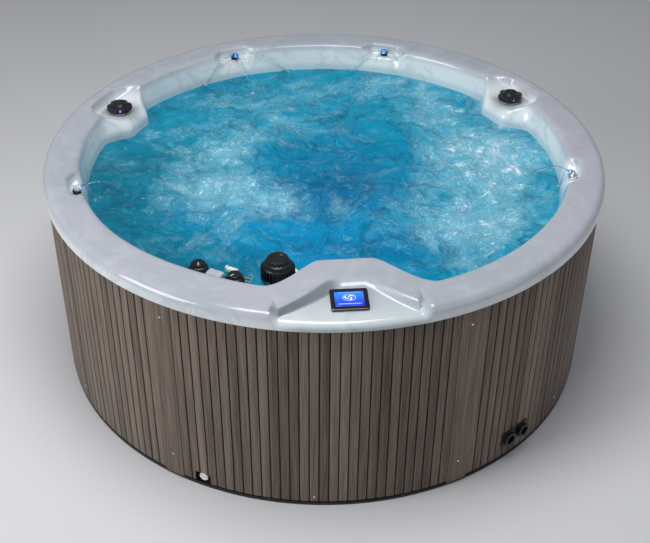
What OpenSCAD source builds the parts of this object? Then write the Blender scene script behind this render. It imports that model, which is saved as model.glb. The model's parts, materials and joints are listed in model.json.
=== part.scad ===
// Round outdoor hot tub with a slatted cabinet, a moulded shell, jets, pumps and controls.
// Millimetres, +Z up. The origin is on the floor at the tub's axis, and the display faces -Y.

/* [Cabinet] */
// Outer radius of the slats
skirt_r = 1031; // [960:1:1120]
// Thickness of a cabinet panel
panel_t = 14; // [10:0.5:18]
// Depth of the grooves between the slats
groove_d = 4; // [2:0.5:6]
// Width of the grooves between the slats
groove_w = 4.5; // [2:0.5:8]
// Width that each slat takes, groove included
slat_pitch = 33.3; // [26:0.1:60]
// Gap from the lip down to the panels
panel_top_gap = 1.5; // [1:0.5:6]
// Height of the side panels' lower edge
panel_z0 = 20; // [18:1:30]
// Turn of the front panel's middle
front_turn = -95.75; // [-98:0.05:-94]
// Angle between the battens at the front panel's sides
front_span = 57.3; // [56.5:0.1:59]
// Width of the battens
batten_w = 75; // [60:1:84]
// How far the battens stand proud of the slats
batten_proud = 3; // [1:0.5:6]

/* [Shell rim] */
// How far the rim stands out past the slats
lip_over = 9; // [6:1:30]
// Height of the rim above the floor
rim_z = 828; // [810:2:880]
// Depth of the lip that hangs over the cabinet
lip_h = 56; // [40:1:70]
// Radius of the rim's rounded outer edge
edge_round = 28; // [12:1:34]
// Wall thickness of the shell
shell_t = 8; // [6:0.5:10]
// Width of the deck, from the rim's outer edge to its inner edge
deck_w = 134; // [128:1:160]

/* [Shell well] */
// How far the wall leans in from the rim's inner edge to the water
wall_in = 19; // [14:1:46]
// Height at which the wall meets the water
water_z = 722; // [700:1:730]
// Height of the seats
seat_z = 400; // [370:5:440]
// How far the wall leans in from the water to the back of the seats
back_in = 52; // [45:1:87]
// Depth of the seats, from their front edge to their back
seat_l = 365; // [345:1:380]
// How far the footwell's wall leans in from the seats to its floor
well_in = 40; // [30:1:70]
// Height of the footwell's floor
floor_z = 84; // [76:1:110]
// Depth of the shoulders that carry the diverter knobs
shoulder_d = 81; // [50:1:90]
// Angle from the back of the tub to each shoulder
shoulder_turn = 62.5; // [56:0.5:66]

/* [Front lobe] */
// How far the lobe reaches in past the rim's inner edge
lobe_reach = 190; // [126:1:206]
// Turn of the lobe from the front of the tub
lobe_turn = 1.3; // [-2:0.1:3]
// Drop of the display's recess at the outer edge
notch_drop = 26; // [12:1:30]
// Step down at the inner edge of the display's recess
recess_step = 11; // [6:1:16]

/* [Frame] */
// How far the floor pan stands in from the slats' outside
pan_in = 2; // [1:0.5:9]
// Thickness of the floor pan
pan_t = 12; // [8:1:16]
// Width of a frame post
post_w = 90; // [84:1:110]
// Depth of a frame post
post_d = 25; // [18:1:28]
// Width of the frame's rings
ring_w = 24; // [16:1:26]
// Height of the frame's rings
ring_h = 36; // [24:1:44]

/* [Controls] */
// Outer radius of a diverter knob
diverter_r = 50; // [44:1:56]
// Height of a diverter knob
diverter_h = 34; // [24:1:44]
// Radius of an air control knob
air_knob_r = 33; // [24:1:38]
// Height of an air control knob
air_knob_h = 34; // [22:1:42]
// Width of the display's frame
display_w = 120; // [100:1:126]
// Depth of the display's frame
display_d = 94; // [80:1:100]
// Radius of a fountain nozzle
nozzle_r = 15; // [11:0.5:16]
// Height of a fountain nozzle
nozzle_h = 24; // [20:1:36]

/* [Filter] */
// Inner radius of the filter canister
canister_r = 70; // [62:1:74]
// Depth of the filter canister
canister_h = 274; // [250:1:300]
// Radius of the filter cartridge
cartridge_r = 56; // [48:1:60]
// Radius of the skimmer basket
skimmer_r = 58; // [50:1:62]
// Height of the skimmer basket above its seat
skimmer_h = 80; // [66:1:98]

/* [Jets] */
// Radius of a large jet's flange
jet_r = 45; // [40:1:50]
// Height of the large jets
jet_z = 570; // [550:1:590]
// Radius of a small jet's flange
small_jet_r = 20; // [16:1:24]
// Height of the small jets
small_jet_z = 650; // [640:1:660]
// Angle from a large jet to each small jet beside it
small_jet_turn = 6; // [5:0.5:9]

/* [Equipment] */
// Radius of a pump's motor
motor_r = 72; // [60:1:80]
// Length of a pump's motor
motor_l = 200; // [160:5:210]
// Radius of a pump's wet end
wet_r = 78; // [70:1:84]
// Radius of the main pipes
pipe_r = 24; // [20:1:26]
// Radius of the blower's housing
blower_r = 74; // [64:1:80]
// Radius of the drain's outlet
drain_r = 13; // [10:0.5:16]

/* [Hidden] */
$fn = 48;

// Radii that follow from the slats' radius
rim_r = skirt_r + lip_over;
crease_r = rim_r - deck_w;
water_r = crease_r - wall_in;
back_r = water_r - back_in;
seat_front_r = back_r - seat_l;
well_r = seat_front_r - well_in;
lobe_y = crease_r - lobe_reach;
pan_r = skirt_r - pan_in;

// Clearances
seat_gap = 0.3;
run_gap = 0.5;
hole_gap = 1;
cut_over = 1;

// Directions of the features, in degrees around the tub, with 90 at the back
back_turn = 90;
lobe_a = -90 + lobe_turn;
shoulder_a = [back_turn + shoulder_turn, back_turn - shoulder_turn];
fountain_a = [back_turn + 21, back_turn - 20.7, -166.9, -13.3];
seat_a = [180, 131, 90, 49, 0, -42];
air_knob_a = [-126.8, -116.4];
filter_a = -106.6;
pump_a = [-113, -74];
heater_a = -152;
blower_a = -44;
drain_a = -118;
inlet_a = [-54.5, -50.6];

// Shapes of the shell's features
lobe_flat = 6.5;
lobe_foot = 18.5;
lobe_wall = 12;
lobe_seat_wall = 58;
recess_flat = 12;
recess_foot = 14.5;
recess_floor_r = rim_r - 178;
recess_top_r = rim_r - 228;
recess_floor_turn = 2.6;
recess_top_turn = 4.5;
recess_mouth_r = rim_r - 30;
recess_brow_r = rim_r - 72;
shoulder_flat = 4.5;
shoulder_foot = 10;
shoulder_out_r = rim_r - 70;
shoulder_slope = 14;
niche_z = rim_z - 44;
pocket_flat = 3.5;
pocket_foot = 6.5;
pocket_out_r = rim_r - 88;
pocket_slope = 7;
pocket_z = rim_z - 44;
console_a = -115.5;
console_flat = 15.5;
console_foot = 20.5;

// The deck is wider by this much at the console
deck_swell = 24;
deck_swell_a = -109;
deck_swell_flat = 6;
deck_swell_foot = 44;
shelf_z = rim_z - 116;
shelf_edge_r = rim_r - 315;
filter_out = 20;
filter_r = shelf_edge_r - filter_out;
filter_rim = 24;
filter_shelf_r = filter_r - canister_r - filter_rim;
filter_flat = 8;
filter_foot = 20;
seat_round = 22;
well_lean = 10;
well_foot = 35;
floor_round = 25;
drain_dish_r = 110;
drain_dish = 4;
drain_dip = 1;
wall_lean = 8;
wall_foot = 40;
water_band = 22;
lip_z = rim_z - lip_h;
fine_step = 2.5;
coarse_step = 5;

// Derived sizes of the cabinet and the frame
panel_in_r = skirt_r - panel_t;
panel_z1 = lip_z - panel_top_gap;
batten_deg = batten_w / skirt_r * 180 / PI;
batten_gap = 0.03;
side_span = (360 - front_span) / 5;
first_batten_a = front_turn - front_span / 2;
batten_a = [for (i = [0:5]) first_batten_a + (i == 0 ? 0 : front_span + (i - 1) * side_span)];
batten_z0 = pan_t + 1;
post_out = sqrt(pow(panel_in_r - seat_gap - 0.1, 2) - pow(post_w / 2, 2));
post_in = post_out - post_d;
post_drop = 2;
ring_out_r = post_in - seat_gap;
mid_post_a = [for (i = [1:5]) batten_a[i] + side_span / 2];
post_a = concat(batten_a, mid_post_a);
screw_r = 5;
screw_head = 2.2;
screw_high = lip_z - 57;
screw_low = 108;
screw_foot = 41;

// Derived sizes of the pipework
water_ring_r = skirt_r - 113;
water_ring_z = 470;
water_tube_r = 18;
air_ring_r = skirt_r - 81;
air_ring_z = rim_z - 128;
air_tube_r = 10;
gate_r = seat_front_r + 130;
pump_r = gate_r + 140;
pump_z = pan_t + 100;
suction_y = 190;
suction_a = [for (a = pump_a) a - atan2(suction_y, pump_r)];
wall_h = water_z - water_band - seat_z - wall_foot;
wall_a = atan2(water_r - 5 - back_r - wall_lean, wall_h);
well_h = seat_z - seat_round - floor_z - well_foot;
well_a = atan2(seat_front_r - well_r - well_lean, well_h);

white = [0.9, 0.9, 0.92];
brown = [0.42, 0.37, 0.34];
black = [0.06, 0.06, 0.07];
grey = [0.5, 0.52, 0.54];
steel = [0.7, 0.71, 0.72];
pvc = [0.84, 0.85, 0.83];
blue = [0.1, 0.4, 0.9];

function lerp(a, b, t) = a + (b - a) * t;
function turn_gap(a, b) = let (d = (a - b) % 360) min(abs(d), 360 - abs(d));
function smooth(t) = t <= 0 ? 0 : t >= 1 ? 1 : t * t * (3 - 2 * t);
function hump(th, centre, flat, foot) = smooth((foot - turn_gap(th, centre)) / (foot - flat));
function hump_max(th, centres, flat, foot) = max([for (c = centres) hump(th, c, flat, foot)]);
function polar(r, a, z) = [r * cos(a), r * sin(a), z];

// Radius of the well's wall, between the water and the seats
function wall_r(z) = lerp(back_r + wall_lean, water_r - 5, (z - seat_z - wall_foot) / wall_h);

// Radius of the footwell's wall
function well_wall_r(z) = lerp(well_r + well_lean, seat_front_r, (z - floor_z - well_foot) / well_h);

// Height of the display recess's floor
function recess_z(r) = lerp(rim_z - recess_step, rim_z - notch_drop,
    (r - recess_floor_r) / (rim_r - edge_round - recess_floor_r));

// Radius of the recess's edge in one direction, from its inner end to its mouth
function recess_edge(th, inner_r, inner_turn, mouth_r, mouth_turn) =
    lerp(inner_r, mouth_r, max(0, min(1, (turn_gap(th, lobe_a) - inner_turn) / (mouth_turn - inner_turn))));

// Surface of the shell in one direction, from the lip to the footwell
function shell_profile(th) =
    let (
        floor_r = recess_edge(th, recess_floor_r, recess_floor_turn, recess_mouth_r, recess_flat),
        brow_r = recess_edge(th, recess_top_r, recess_top_turn, recess_brow_r, recess_foot),
        s = hump_max(th, shoulder_a, shoulder_flat, shoulder_foot),
        l = hump(th, lobe_a, lobe_flat, lobe_foot),
        c = hump(th, console_a, console_flat, console_foot),
        q = hump(th, lobe_a, recess_flat, recess_foot),
        p = hump_max(th, fountain_a, pocket_flat, pocket_foot),
        deck_r = crease_r - deck_swell * hump(th, deck_swell_a, deck_swell_flat, deck_swell_foot),
        rc = lerp(deck_r, lobe_y / cos(min(turn_gap(th, lobe_a), 30)), l),
        wr = lerp(lerp(water_r, water_r - shoulder_d, s), rc - lobe_wall, l),
        br = lerp(lerp(back_r, back_r - shoulder_d * 0.8, s), rc - lobe_seat_wall, l),
        shelf = lerp(shelf_edge_r, filter_shelf_r, hump(th, filter_a, filter_flat, filter_foot)),
        top = rim_z - notch_drop * q,
        edge_r = rim_r - edge_round
    )
    concat(
        [[rim_r, lip_z]],
        [for (a = [0:30:90]) [edge_r + edge_round * cos(a), top - edge_round + edge_round * sin(a)]],
        [
            lerp(lerp([lerp(edge_r, rc, 0.35), rim_z], [shoulder_out_r + 2 * shoulder_slope, rim_z], s),
                [floor_r, recess_z(floor_r)], q),
            lerp(lerp(lerp([lerp(edge_r, rc, 0.65), rim_z], [shoulder_out_r + 12, rim_z], s),
                [pocket_out_r + 12, rim_z], p), [brow_r, rim_z], q),
            lerp(
                lerp([rc + 16, rim_z - 1.5], [shoulder_out_r, niche_z + 4], s),
                [pocket_out_r, rim_z - 4],
                p
            ),
            lerp(lerp([rc + 5, rim_z - 6], [shoulder_out_r - shoulder_slope, niche_z], s),
                [pocket_out_r - pocket_slope, pocket_z], p),
            lerp(lerp([rc, rim_z - 16], [water_r - shoulder_d + 36, niche_z], s), [rc + 4, pocket_z], p),
            lerp(lerp([wr + 5, water_z + 24], [wr + 7, water_z + 40], s), [rc - 16, shelf_z], c),
            lerp([wr, water_z], [shelf + 12, shelf_z], c),
            lerp([wr - 5, water_z - water_band], [shelf, shelf_z - 16], c),
            lerp([br + wall_lean, seat_z + wall_foot], [shelf - wall_lean, seat_z + wall_foot], c),
            lerp([br - 18, seat_z + 8], [shelf - 26, seat_z + 8], c),
            lerp([(br + seat_front_r) / 2, seat_z], [(shelf + seat_front_r) / 2, seat_z], c),
            [seat_front_r + seat_round, seat_z],
            [seat_front_r, seat_z - seat_round],
            [well_r + well_lean, floor_z + well_foot],
            [well_r - floor_round, floor_z],
            [drain_dish_r, floor_z - drain_dish]
        ]
    );

// The same surface moved into the material by the wall's thickness
function moved(p, t) =
    [for (k = [0:len(p) - 1])
        let (
            a = p[max(k - 1, 0)],
            b = p[min(k + 1, len(p) - 1)],
            d = (b - a) / norm(b - a)
        )
        k == 0 ? [p[0].x - t, p[0].y] : [p[k].x - d.y * t, p[k].y + d.x * t]];

function shaped(th) =
    max(
        hump_max(th, concat(shoulder_a, fountain_a), 0, 11),
        hump(th, lobe_a, 20, 22),
        hump(th, console_a, 20, 22)
    ) > 0;

shell_turns = [for (a = [-180:coarse_step:179]) each (shaped(a) ? [a, a + fine_step] : [a])];

module at_polar(r, a, z) {
    rotate([0, 0, a])
        translate([r, 0, z])
            children();
}

// Local +Z points out through the well's wall, square to it
module on_wall(a, z) {
    at_polar(wall_r(z), a, z)
        rotate([0, 90 + wall_a, 0])
            children();
}

// Local +Z points out through the footwell's wall, square to it
module on_well(a, z) {
    at_polar(well_wall_r(z), a, z)
        rotate([0, 90 + well_a, 0])
            children();
}

module tube(h, r_out, r_in) {
    difference() {
        cylinder(h = h, r = r_out);
        translate([0, 0, -cut_over])
            cylinder(h = h + 2 * cut_over, r = r_in);
    }
}

module rod(p, q, r) {
    v = q - p;
    translate(p)
        rotate([0, acos(v.z / norm(v)), atan2(v.y, v.x)])
            cylinder(h = norm(v), r = r);
}

elbow_over = 4;

// A run of straight pipes with an elbow fitting at each inner corner
module pipe_run(points, r) {
    for (i = [1:len(points) - 1])
        rod(points[i - 1], points[i], r);
    for (i = [1:1:len(points) - 2])
        translate(points[i])
            sphere(r = r + elbow_over);
}

module ring_tube(ring_r, tube_r, z) {
    translate([0, 0, z])
        rotate_extrude($fn = 96)
            translate([ring_r, 0])
                circle(r = tube_r);
}

module shell_skin() {
    top = [for (a = shell_turns) shell_profile(a)];
    under = [for (t = top) moved(t, shell_t)];
    n = len(shell_turns);
    rows = len(top[0]);
    dip_z = floor_z - drain_dish - drain_dip;
    points = concat(
        [for (i = [0:n - 1]) for (k = [0:rows - 1]) polar(top[i][k].x, shell_turns[i], top[i][k].y)],
        [for (i = [0:n - 1]) for (k = [0:rows - 1]) polar(under[i][k].x, shell_turns[i], under[i][k].y)],
        [[0, 0, dip_z], [0, 0, dip_z - shell_t]]
    );
    base = n * rows;
    function at(i, k) = (i % n) * rows + k;
    faces = concat(
        [for (i = [0:n - 1]) for (k = [0:rows - 2]) each [
            [at(i, k), at(i, k + 1), at(i + 1, k + 1)],
            [at(i, k), at(i + 1, k + 1), at(i + 1, k)]
        ]],
        [for (i = [0:n - 1]) for (k = [0:rows - 2]) each [
            [base + at(i, k), base + at(i + 1, k + 1), base + at(i, k + 1)],
            [base + at(i, k), base + at(i + 1, k), base + at(i + 1, k + 1)]
        ]],
        [for (i = [0:n - 1]) each [
            [at(i, 0), at(i + 1, 0), base + at(i + 1, 0)],
            [at(i, 0), base + at(i + 1, 0), base + at(i, 0)]
        ]],
        [for (i = [0:n - 1]) [at(i, rows - 1), 2 * base, at(i + 1, rows - 1)]],
        [for (i = [0:n - 1]) [base + at(i, rows - 1), base + at(i + 1, rows - 1), 2 * base + 1]]
    );
    polyhedron(points = points, faces = faces, convexity = 6);
}

// Barrel radii of the fittings that pass through the shell
jet_barrel_r = jet_r - 13;
small_barrel_r = small_jet_r - 8;
valve_r = 22;
air_valve_r = 15;
housing_r = 13;
suction_barrel_r = pipe_r + 4;
drain_barrel_r = 22;
wall_bow = 2.3;
small_bow = 1.4;
well_bow = 4.4;
hole_l = 60;

diverter_room = 8;
diverter_at = shoulder_out_r - shoulder_slope - diverter_r - diverter_room;
air_knob_in = 50;
air_knob_at = shelf_edge_r + air_knob_in;
fountain_at = pocket_out_r - 26;
display_at = rim_r - 109;
display_z = recess_z(display_at);
display_lean = atan2(notch_drop - recess_step, rim_r - edge_round - recess_floor_r);

module shell() {
    color(white)
        difference() {
            shell_skin();
            for (a = seat_a)
                on_wall(a, jet_z)
                    translate([0, 0, -hole_l / 2])
                        cylinder(h = hole_l, r = jet_barrel_r + hole_gap);
            for (a = seat_a)
                for (side = [-1, 1])
                    on_wall(a + side * small_jet_turn, small_jet_z)
                        translate([0, 0, -hole_l / 2])
                            cylinder(h = hole_l, r = small_barrel_r + hole_gap);
            for (a = shoulder_a)
                at_polar(diverter_at, a, niche_z - hole_l / 2)
                    cylinder(h = hole_l, r = valve_r + hole_gap);
            for (a = air_knob_a)
                at_polar(air_knob_at, a, shelf_z - hole_l / 2)
                    cylinder(h = hole_l, r = air_valve_r + hole_gap);
            at_polar(filter_r, filter_a, shelf_z - hole_l / 2)
                cylinder(h = hole_l, r = canister_r + canister_wall + hole_gap);
            for (a = fountain_a)
                at_polar(fountain_at, a, pocket_z - hole_l / 2)
                    cylinder(h = hole_l, r = housing_r + hole_gap);
            for (a = suction_a)
                on_well(a, suction_z)
                    translate([0, 0, -hole_l / 2])
                        cylinder(h = hole_l, r = suction_barrel_r + hole_gap);
            translate([0, 0, floor_z - hole_l / 2])
                cylinder(h = hole_l, r = drain_barrel_r + hole_gap);
            display_place()
                translate([-display_d / 2 + slot_in, -display_w / 2 + slot_in, -hole_l / 2])
                    cube([display_d - 2 * slot_in, display_w - 2 * slot_in, hole_l]);
        }
}

module base_pan() {
    color(black)
        cylinder(h = pan_t, r = pan_r, $fn = 180);
}

// The support under the well, with a channel for the drain's pipe
support_in = 10;
support_out = 60;
pipe_room = 3;

module well_support() {
    r0 = drain_dish_r + support_in;
    r1 = well_r - support_out;
    channel_w = drain_pipe_r + pipe_room;
    slope = drain_dish / (well_r - floor_round - drain_dish_r);
    z0 = floor_z - drain_dish - shell_t - seat_gap + slope * (r0 - drain_dish_r);
    color(grey)
        difference() {
            rotate_extrude($fn = 96)
                polygon([[r0, pan_t], [r1, pan_t], [r1, z0 + slope * (r1 - r0)], [r0, z0]]);
            rotate([0, 0, drain_a])
                translate([0, -channel_w, pan_t - cut_over])
                    cube([r1 + cut_over, 2 * channel_w, drain_pipe_z + channel_w - pan_t + cut_over]);
        }
}

module frame_posts() {
    color(grey)
        for (a = post_a)
            rotate([0, 0, a])
                translate([post_in, -post_w / 2, pan_t])
                    cube([post_d, post_w, rim_z - shell_t - post_drop - pan_t]);
}

module frame_rings() {
    color(grey)
        difference() {
            for (z = [pan_t, lip_z - ring_h])
                translate([0, 0, z])
                    tube(ring_h, ring_out_r, ring_out_r - ring_w, $fn = 120);
            at_polar(ring_out_r - ring_w - cut_over, drain_a, screw_foot - drain_r - hole_gap)
                translate([0, -drain_r - hole_gap, 0])
                    cube([ring_w + 2 * cut_over, 2 * (drain_r + hole_gap), ring_h]);
        }
}

// Outline of a panel seen from above: flat slats outside, with a groove beside each
function panel_outline(a0, a1) =
    let (
        n = round((a1 - a0) * PI / 180 * skirt_r / slat_pitch),
        step = (a1 - a0) / n,
        half = groove_w / 2 / skirt_r * 180 / PI,
        deep = skirt_r - groove_d
    )
    concat(
        [for (i = [0:n - 1])
            let (
                b0 = a0 + i * step + (i == 0 ? 0 : half),
                b1 = a0 + (i + 1) * step - (i == n - 1 ? 0 : half)
            )
            each concat(
                [[skirt_r * cos(b0), skirt_r * sin(b0)], [skirt_r * cos(b1), skirt_r * sin(b1)]],
                i == n - 1 ? [] : [
                    [deep * cos(b1), deep * sin(b1)],
                    [deep * cos(b1 + 2 * half), deep * sin(b1 + 2 * half)]
                ]
            )],
        [for (i = [n:-1:0]) [panel_in_r * cos(a0 + i * step), panel_in_r * sin(a0 + i * step)]]
    );

module panel(a0, a1) {
    translate([0, 0, panel_z0])
        linear_extrude(height = panel_z1 - panel_z0)
            polygon(panel_outline(a0, a1));
}

// Cuts through the panels start inside them and end outside; the drain has a notch of its own
cut_r = panel_in_r - 10;
cut_l = panel_t + 30;
notch_w = drain_r * 4.6;
notch_z = screw_foot + drain_r * 1.75;

module front_panel() {
    color(brown)
        difference() {
            panel(batten_a[0] + batten_deg / 2 + batten_gap, batten_a[1] - batten_deg / 2 - batten_gap);
            at_polar(cut_r, drain_a, 0)
                translate([0, -notch_w / 2, 0])
                    cube([cut_l, notch_w, notch_z]);
            at_polar(cut_r, front_turn, screw_foot)
                rotate([0, 90, 0])
                    cylinder(h = cut_l, r = screw_r / 2 + run_gap);
        }
}

module side_panel(i) {
    a0 = batten_a[i] + batten_deg / 2 + batten_gap;
    a1 = a0 + side_span - batten_deg - 2 * batten_gap;
    color(brown)
        difference() {
            panel(a0, a1);
            at_polar(cut_r, panel_screw_a(i), panel_screw_z)
                rotate([0, 90, 0])
                    cylinder(h = cut_l, r = screw_r / 2 + run_gap);
            if (i == 1)
                for (a = inlet_a)
                    at_polar(cut_r, a, inlet_z)
                        rotate([0, 90, 0])
                            cylinder(h = cut_l, r = inlet_r + hole_gap);
        }
}

panel_screw_z = 77;
inlet_z = 100;
inlet_r = 21;
function panel_screw_a(i) = batten_a[i] + side_span / 2;

module corner_battens() {
    batten_in = panel_in_r;
    color(brown)
        difference() {
            for (a = batten_a)
                rotate([0, 0, a - batten_deg / 2])
                    translate([0, 0, batten_z0])
                        rotate_extrude(angle = batten_deg, $fn = 180)
                            translate([batten_in, 0])
                                square([skirt_r + batten_proud - batten_in, panel_z1 - batten_z0]);
            for (a = batten_a)
                for (z = [screw_low, screw_high])
                    at_polar(cut_r, a, z)
                        rotate([0, 90, 0])
                            cylinder(h = cut_l, r = screw_r / 2 + run_gap);
        }
}

// A round-headed screw along local +X, with its head's seat at the origin
module screw(shank) {
    rotate([0, 90, 0]) {
        cylinder(h = screw_head, r = screw_r);
        translate([0, 0, -shank])
            cylinder(h = shank, r = screw_r / 2);
    }
}

module batten_screws() {
    color(steel)
        for (a = batten_a)
            for (z = [screw_low, screw_high])
                at_polar(skirt_r + batten_proud + 0.1, a, z)
                    screw(panel_t + batten_proud - 0.2);
}

module panel_screws() {
    color(steel)
        for (i = [1:5])
            at_polar(skirt_r + 0.1, panel_screw_a(i), panel_screw_z)
                screw(panel_t - 0.2);
}

module front_panel_screw() {
    color(steel)
        at_polar(skirt_r + 0.1, front_turn, screw_foot)
            screw(panel_t - 0.2);
}

// Local +X points outward along the recess's floor and +Z away from it
module display_place() {
    at_polar(display_at, lobe_a - 0.6, display_z)
        rotate([0, display_lean, 0])
            children();
}

// A plate with round corners, centred on the origin
module round_plate(l, w, h, r) {
    linear_extrude(height = h) {
        square([l - 2 * r, w], center = true);
        square([l, w - 2 * r], center = true);
        for (x = [-1, 1])
            for (y = [-1, 1])
                translate([x * (l / 2 - r), y * (w / 2 - r)])
                    circle(r = r);
    }
}

bezel_h = 9;
bezel_lift = 0.6;
bezel_corner = 8;
neck_in = 11;
neck_l = 24;
slot_in = 9;
screen_t = 2;
screen_rim = 14;
screen_corner = 3;
screen_gap = 0.3;
screen_drop = 0.4;
screen_z = bezel_lift + bezel_h - screen_t;
screen_d = display_d - 2 * screen_rim;
screen_w = display_w - 2 * screen_rim;

module display_bezel() {
    color(black)
        display_place()
            difference() {
                union() {
                    translate([0, 0, bezel_lift])
                        round_plate(display_d, display_w, bezel_h, bezel_corner);
                    translate([-display_d / 2 + neck_in, -display_w / 2 + neck_in, -neck_l])
                        cube([display_d - 2 * neck_in, display_w - 2 * neck_in, neck_l + cut_over]);
                }
                translate([0, 0, screen_z])
                    round_plate(screen_d, screen_w, screen_t + cut_over, screen_corner);
            }
}

module display_screen() {
    color(blue)
        display_place()
            translate([0, 0, screen_z])
                round_plate(
                    screen_d - 2 * screen_gap,
                    screen_w - 2 * screen_gap,
                    screen_t - screen_drop,
                    screen_corner
                );
}

knob_lobes = 6;
knob_lobe_r = 15;
knob_body_h = diverter_h * 0.55;
knob_lobe_h = diverter_h * 0.72;
knob_top_r = diverter_r * 0.55;
knob_dish_r = diverter_r * 0.36;
knob_dish = 3;
spigot_r = 9;
spigot_l = 22;
small_spigot_r = spigot_r - 2;
spigot_gap = 0.1;

module diverter_knob(a) {
    color(black)
        at_polar(diverter_at, a, niche_z + flange_h + run_gap)
            difference() {
                union() {
                    cylinder(h = knob_body_h, r = diverter_r - 4);
                    for (i = [0:knob_lobes - 1])
                        rotate([0, 0, i * 360 / knob_lobes])
                            translate([diverter_r - knob_lobe_r, 0, 0])
                                cylinder(h = knob_lobe_h, r = knob_lobe_r);
                    cylinder(h = diverter_h, r = knob_top_r);
                    translate([0, 0, -spigot_l])
                        cylinder(h = spigot_l + cut_over, r = spigot_r);
                }
                translate([0, 0, diverter_h - knob_dish])
                    cylinder(h = knob_dish + cut_over, r = knob_dish_r);
            }
}

flange_h = 5;
flange_lift = 0.4;
bore_room = 2;

// A valve body under the deck, with its flange on top and a bore for the knob's spigot
module valve_body(r, flange_r, l, bore, top = flange_h) {
    difference() {
        union() {
            translate([0, 0, flange_lift])
                cylinder(h = top - flange_lift, r = flange_r);
            translate([0, 0, -l])
                cylinder(h = l + cut_over, r = r);
        }
        translate([0, 0, top - flange_h - spigot_l - bore_room])
            cylinder(h = spigot_l + flange_h + 2 * bore_room, r = bore);
    }
}

valve_over = 12;
valve_l = 90;
port_r = 14;
port_l = 30;
port_z = -65;

module diverter_valves() {
    color(grey)
        for (a = shoulder_a)
            at_polar(diverter_at, a, niche_z) {
                valve_body(valve_r, valve_r + valve_over, valve_l, spigot_r + spigot_gap);
                for (side = [-1, 1])
                    translate([0, side * (valve_r - 4), port_z])
                        rotate([side * -90, 0, 0])
                            cylinder(h = port_l, r = port_r);
            }
}

// The air valves stand on collars that reach out of the water
collar_h = 12;
collar_r = air_valve_r + 9;
air_valve_l = 44;
air_body_h = air_knob_h * 0.6;
air_top_r = air_knob_r * 0.72;
scallop_n = 8;
scallop_r = 6;
scallop_at = air_knob_r + 3;

// A block on the shelf beside the left valve feeds air to it
air_block_a = [4.1, 5.7];
air_block_r = 18;
air_block_h = 30;
air_block_round = 4;

module air_knob(a) {
    color(black)
        at_polar(air_knob_at, a, shelf_z + collar_h + run_gap)
            difference() {
                union() {
                    cylinder(h = air_body_h, r = air_knob_r);
                    cylinder(h = air_knob_h, r = air_top_r);
                    translate([0, 0, -spigot_l])
                        cylinder(h = spigot_l + cut_over, r = small_spigot_r);
                }
                for (i = [0:scallop_n - 1])
                    rotate([0, 0, i * 360 / scallop_n])
                        translate([scallop_at, 0, -cut_over])
                            cylinder(h = air_knob_h, r = scallop_r);
            }
}

module air_valves() {
    color(grey)
        for (a = air_knob_a)
            at_polar(air_knob_at, a, shelf_z)
                valve_body(air_valve_r, collar_r, air_valve_l, small_spigot_r + spigot_gap, collar_h);
    color(grey)
        translate([0, 0, shelf_z + flange_lift])
            hull()
                for (a = air_block_a)
                    at_polar(air_knob_at, air_knob_a[0] + a, 0) {
                        cylinder(h = air_block_h - air_block_round, r = air_block_r);
                        cylinder(h = air_block_h, r = air_block_r - air_block_round);
                    }
}

canister_wall = 4;
canister_lift = 3;
canister_z0 = shelf_z + canister_lift - canister_h;
canister_floor = 6;
canister_lip = 9;
canister_lip_h = 5;
port_wall = 4;
outlet_l = 30;

module filter_canister() {
    color(white)
        at_polar(filter_r, filter_a, 0)
            difference() {
                union() {
                    translate([0, 0, canister_z0])
                        cylinder(h = canister_h, r = canister_r + canister_wall);
                    translate([0, 0, shelf_z + flange_lift])
                        cylinder(h = canister_lip_h, r = canister_r + canister_wall + canister_lip);
                    translate([0, 0, canister_z0 - outlet_l])
                        cylinder(h = outlet_l + cut_over, r = pipe_r);
                }
                translate([0, 0, canister_z0 + canister_floor])
                    cylinder(h = canister_h + canister_lip_h, r = canister_r);
                translate([0, 0, canister_z0 - outlet_l - cut_over])
                    cylinder(h = outlet_l + canister_floor + 2 * cut_over, r = pipe_r - port_wall);
            }
}

cartridge_z0 = canister_z0 + canister_floor + seat_gap;
cartridge_h = canister_h - 44;
pleat_n = 24;
pleat_d = 6;
pleat_in = 3;
end_cap_h = 10;
stem_r = 10;
stem_plate = 8;
stem_plate_h = 4;
stem_up = 31;

module filter_cartridge() {
    color([0.85, 0.87, 0.9])
        at_polar(filter_r, filter_a, cartridge_z0) {
            linear_extrude(height = cartridge_h)
                polygon([for (i = [0:2 * pleat_n - 1])
                    let (r = cartridge_r - pleat_in - (i % 2) * pleat_d, t = i * 180 / pleat_n)
                    [r * cos(t), r * sin(t)]]);
            cylinder(h = end_cap_h, r = cartridge_r);
            translate([0, 0, cartridge_h - end_cap_h])
                cylinder(h = end_cap_h, r = cartridge_r);
            translate([0, 0, cartridge_h - cut_over])
                cylinder(h = skimmer_z0 - cartridge_z0 - cartridge_h + stem_up, r = stem_r);
            translate([0, 0, skimmer_z0 - cartridge_z0 - seat_gap - stem_plate_h])
                cylinder(h = stem_plate_h, r = stem_r + stem_plate);
        }
}

skimmer_lift = 12;
skimmer_z0 = shelf_z + skimmer_lift;
skimmer_ribs = 18;
skimmer_foot_h = 10;
skimmer_body_h = skimmer_h * 0.62;
skimmer_step_h = skimmer_h * 0.8;
skimmer_body_r = skimmer_r - 6;
skimmer_step_r = skimmer_r - 11;
skimmer_top_r = skimmer_r - 18;
rib_t = 4;
rib_d = 8;
rib_z = 5;
rib_below = 2;

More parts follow.
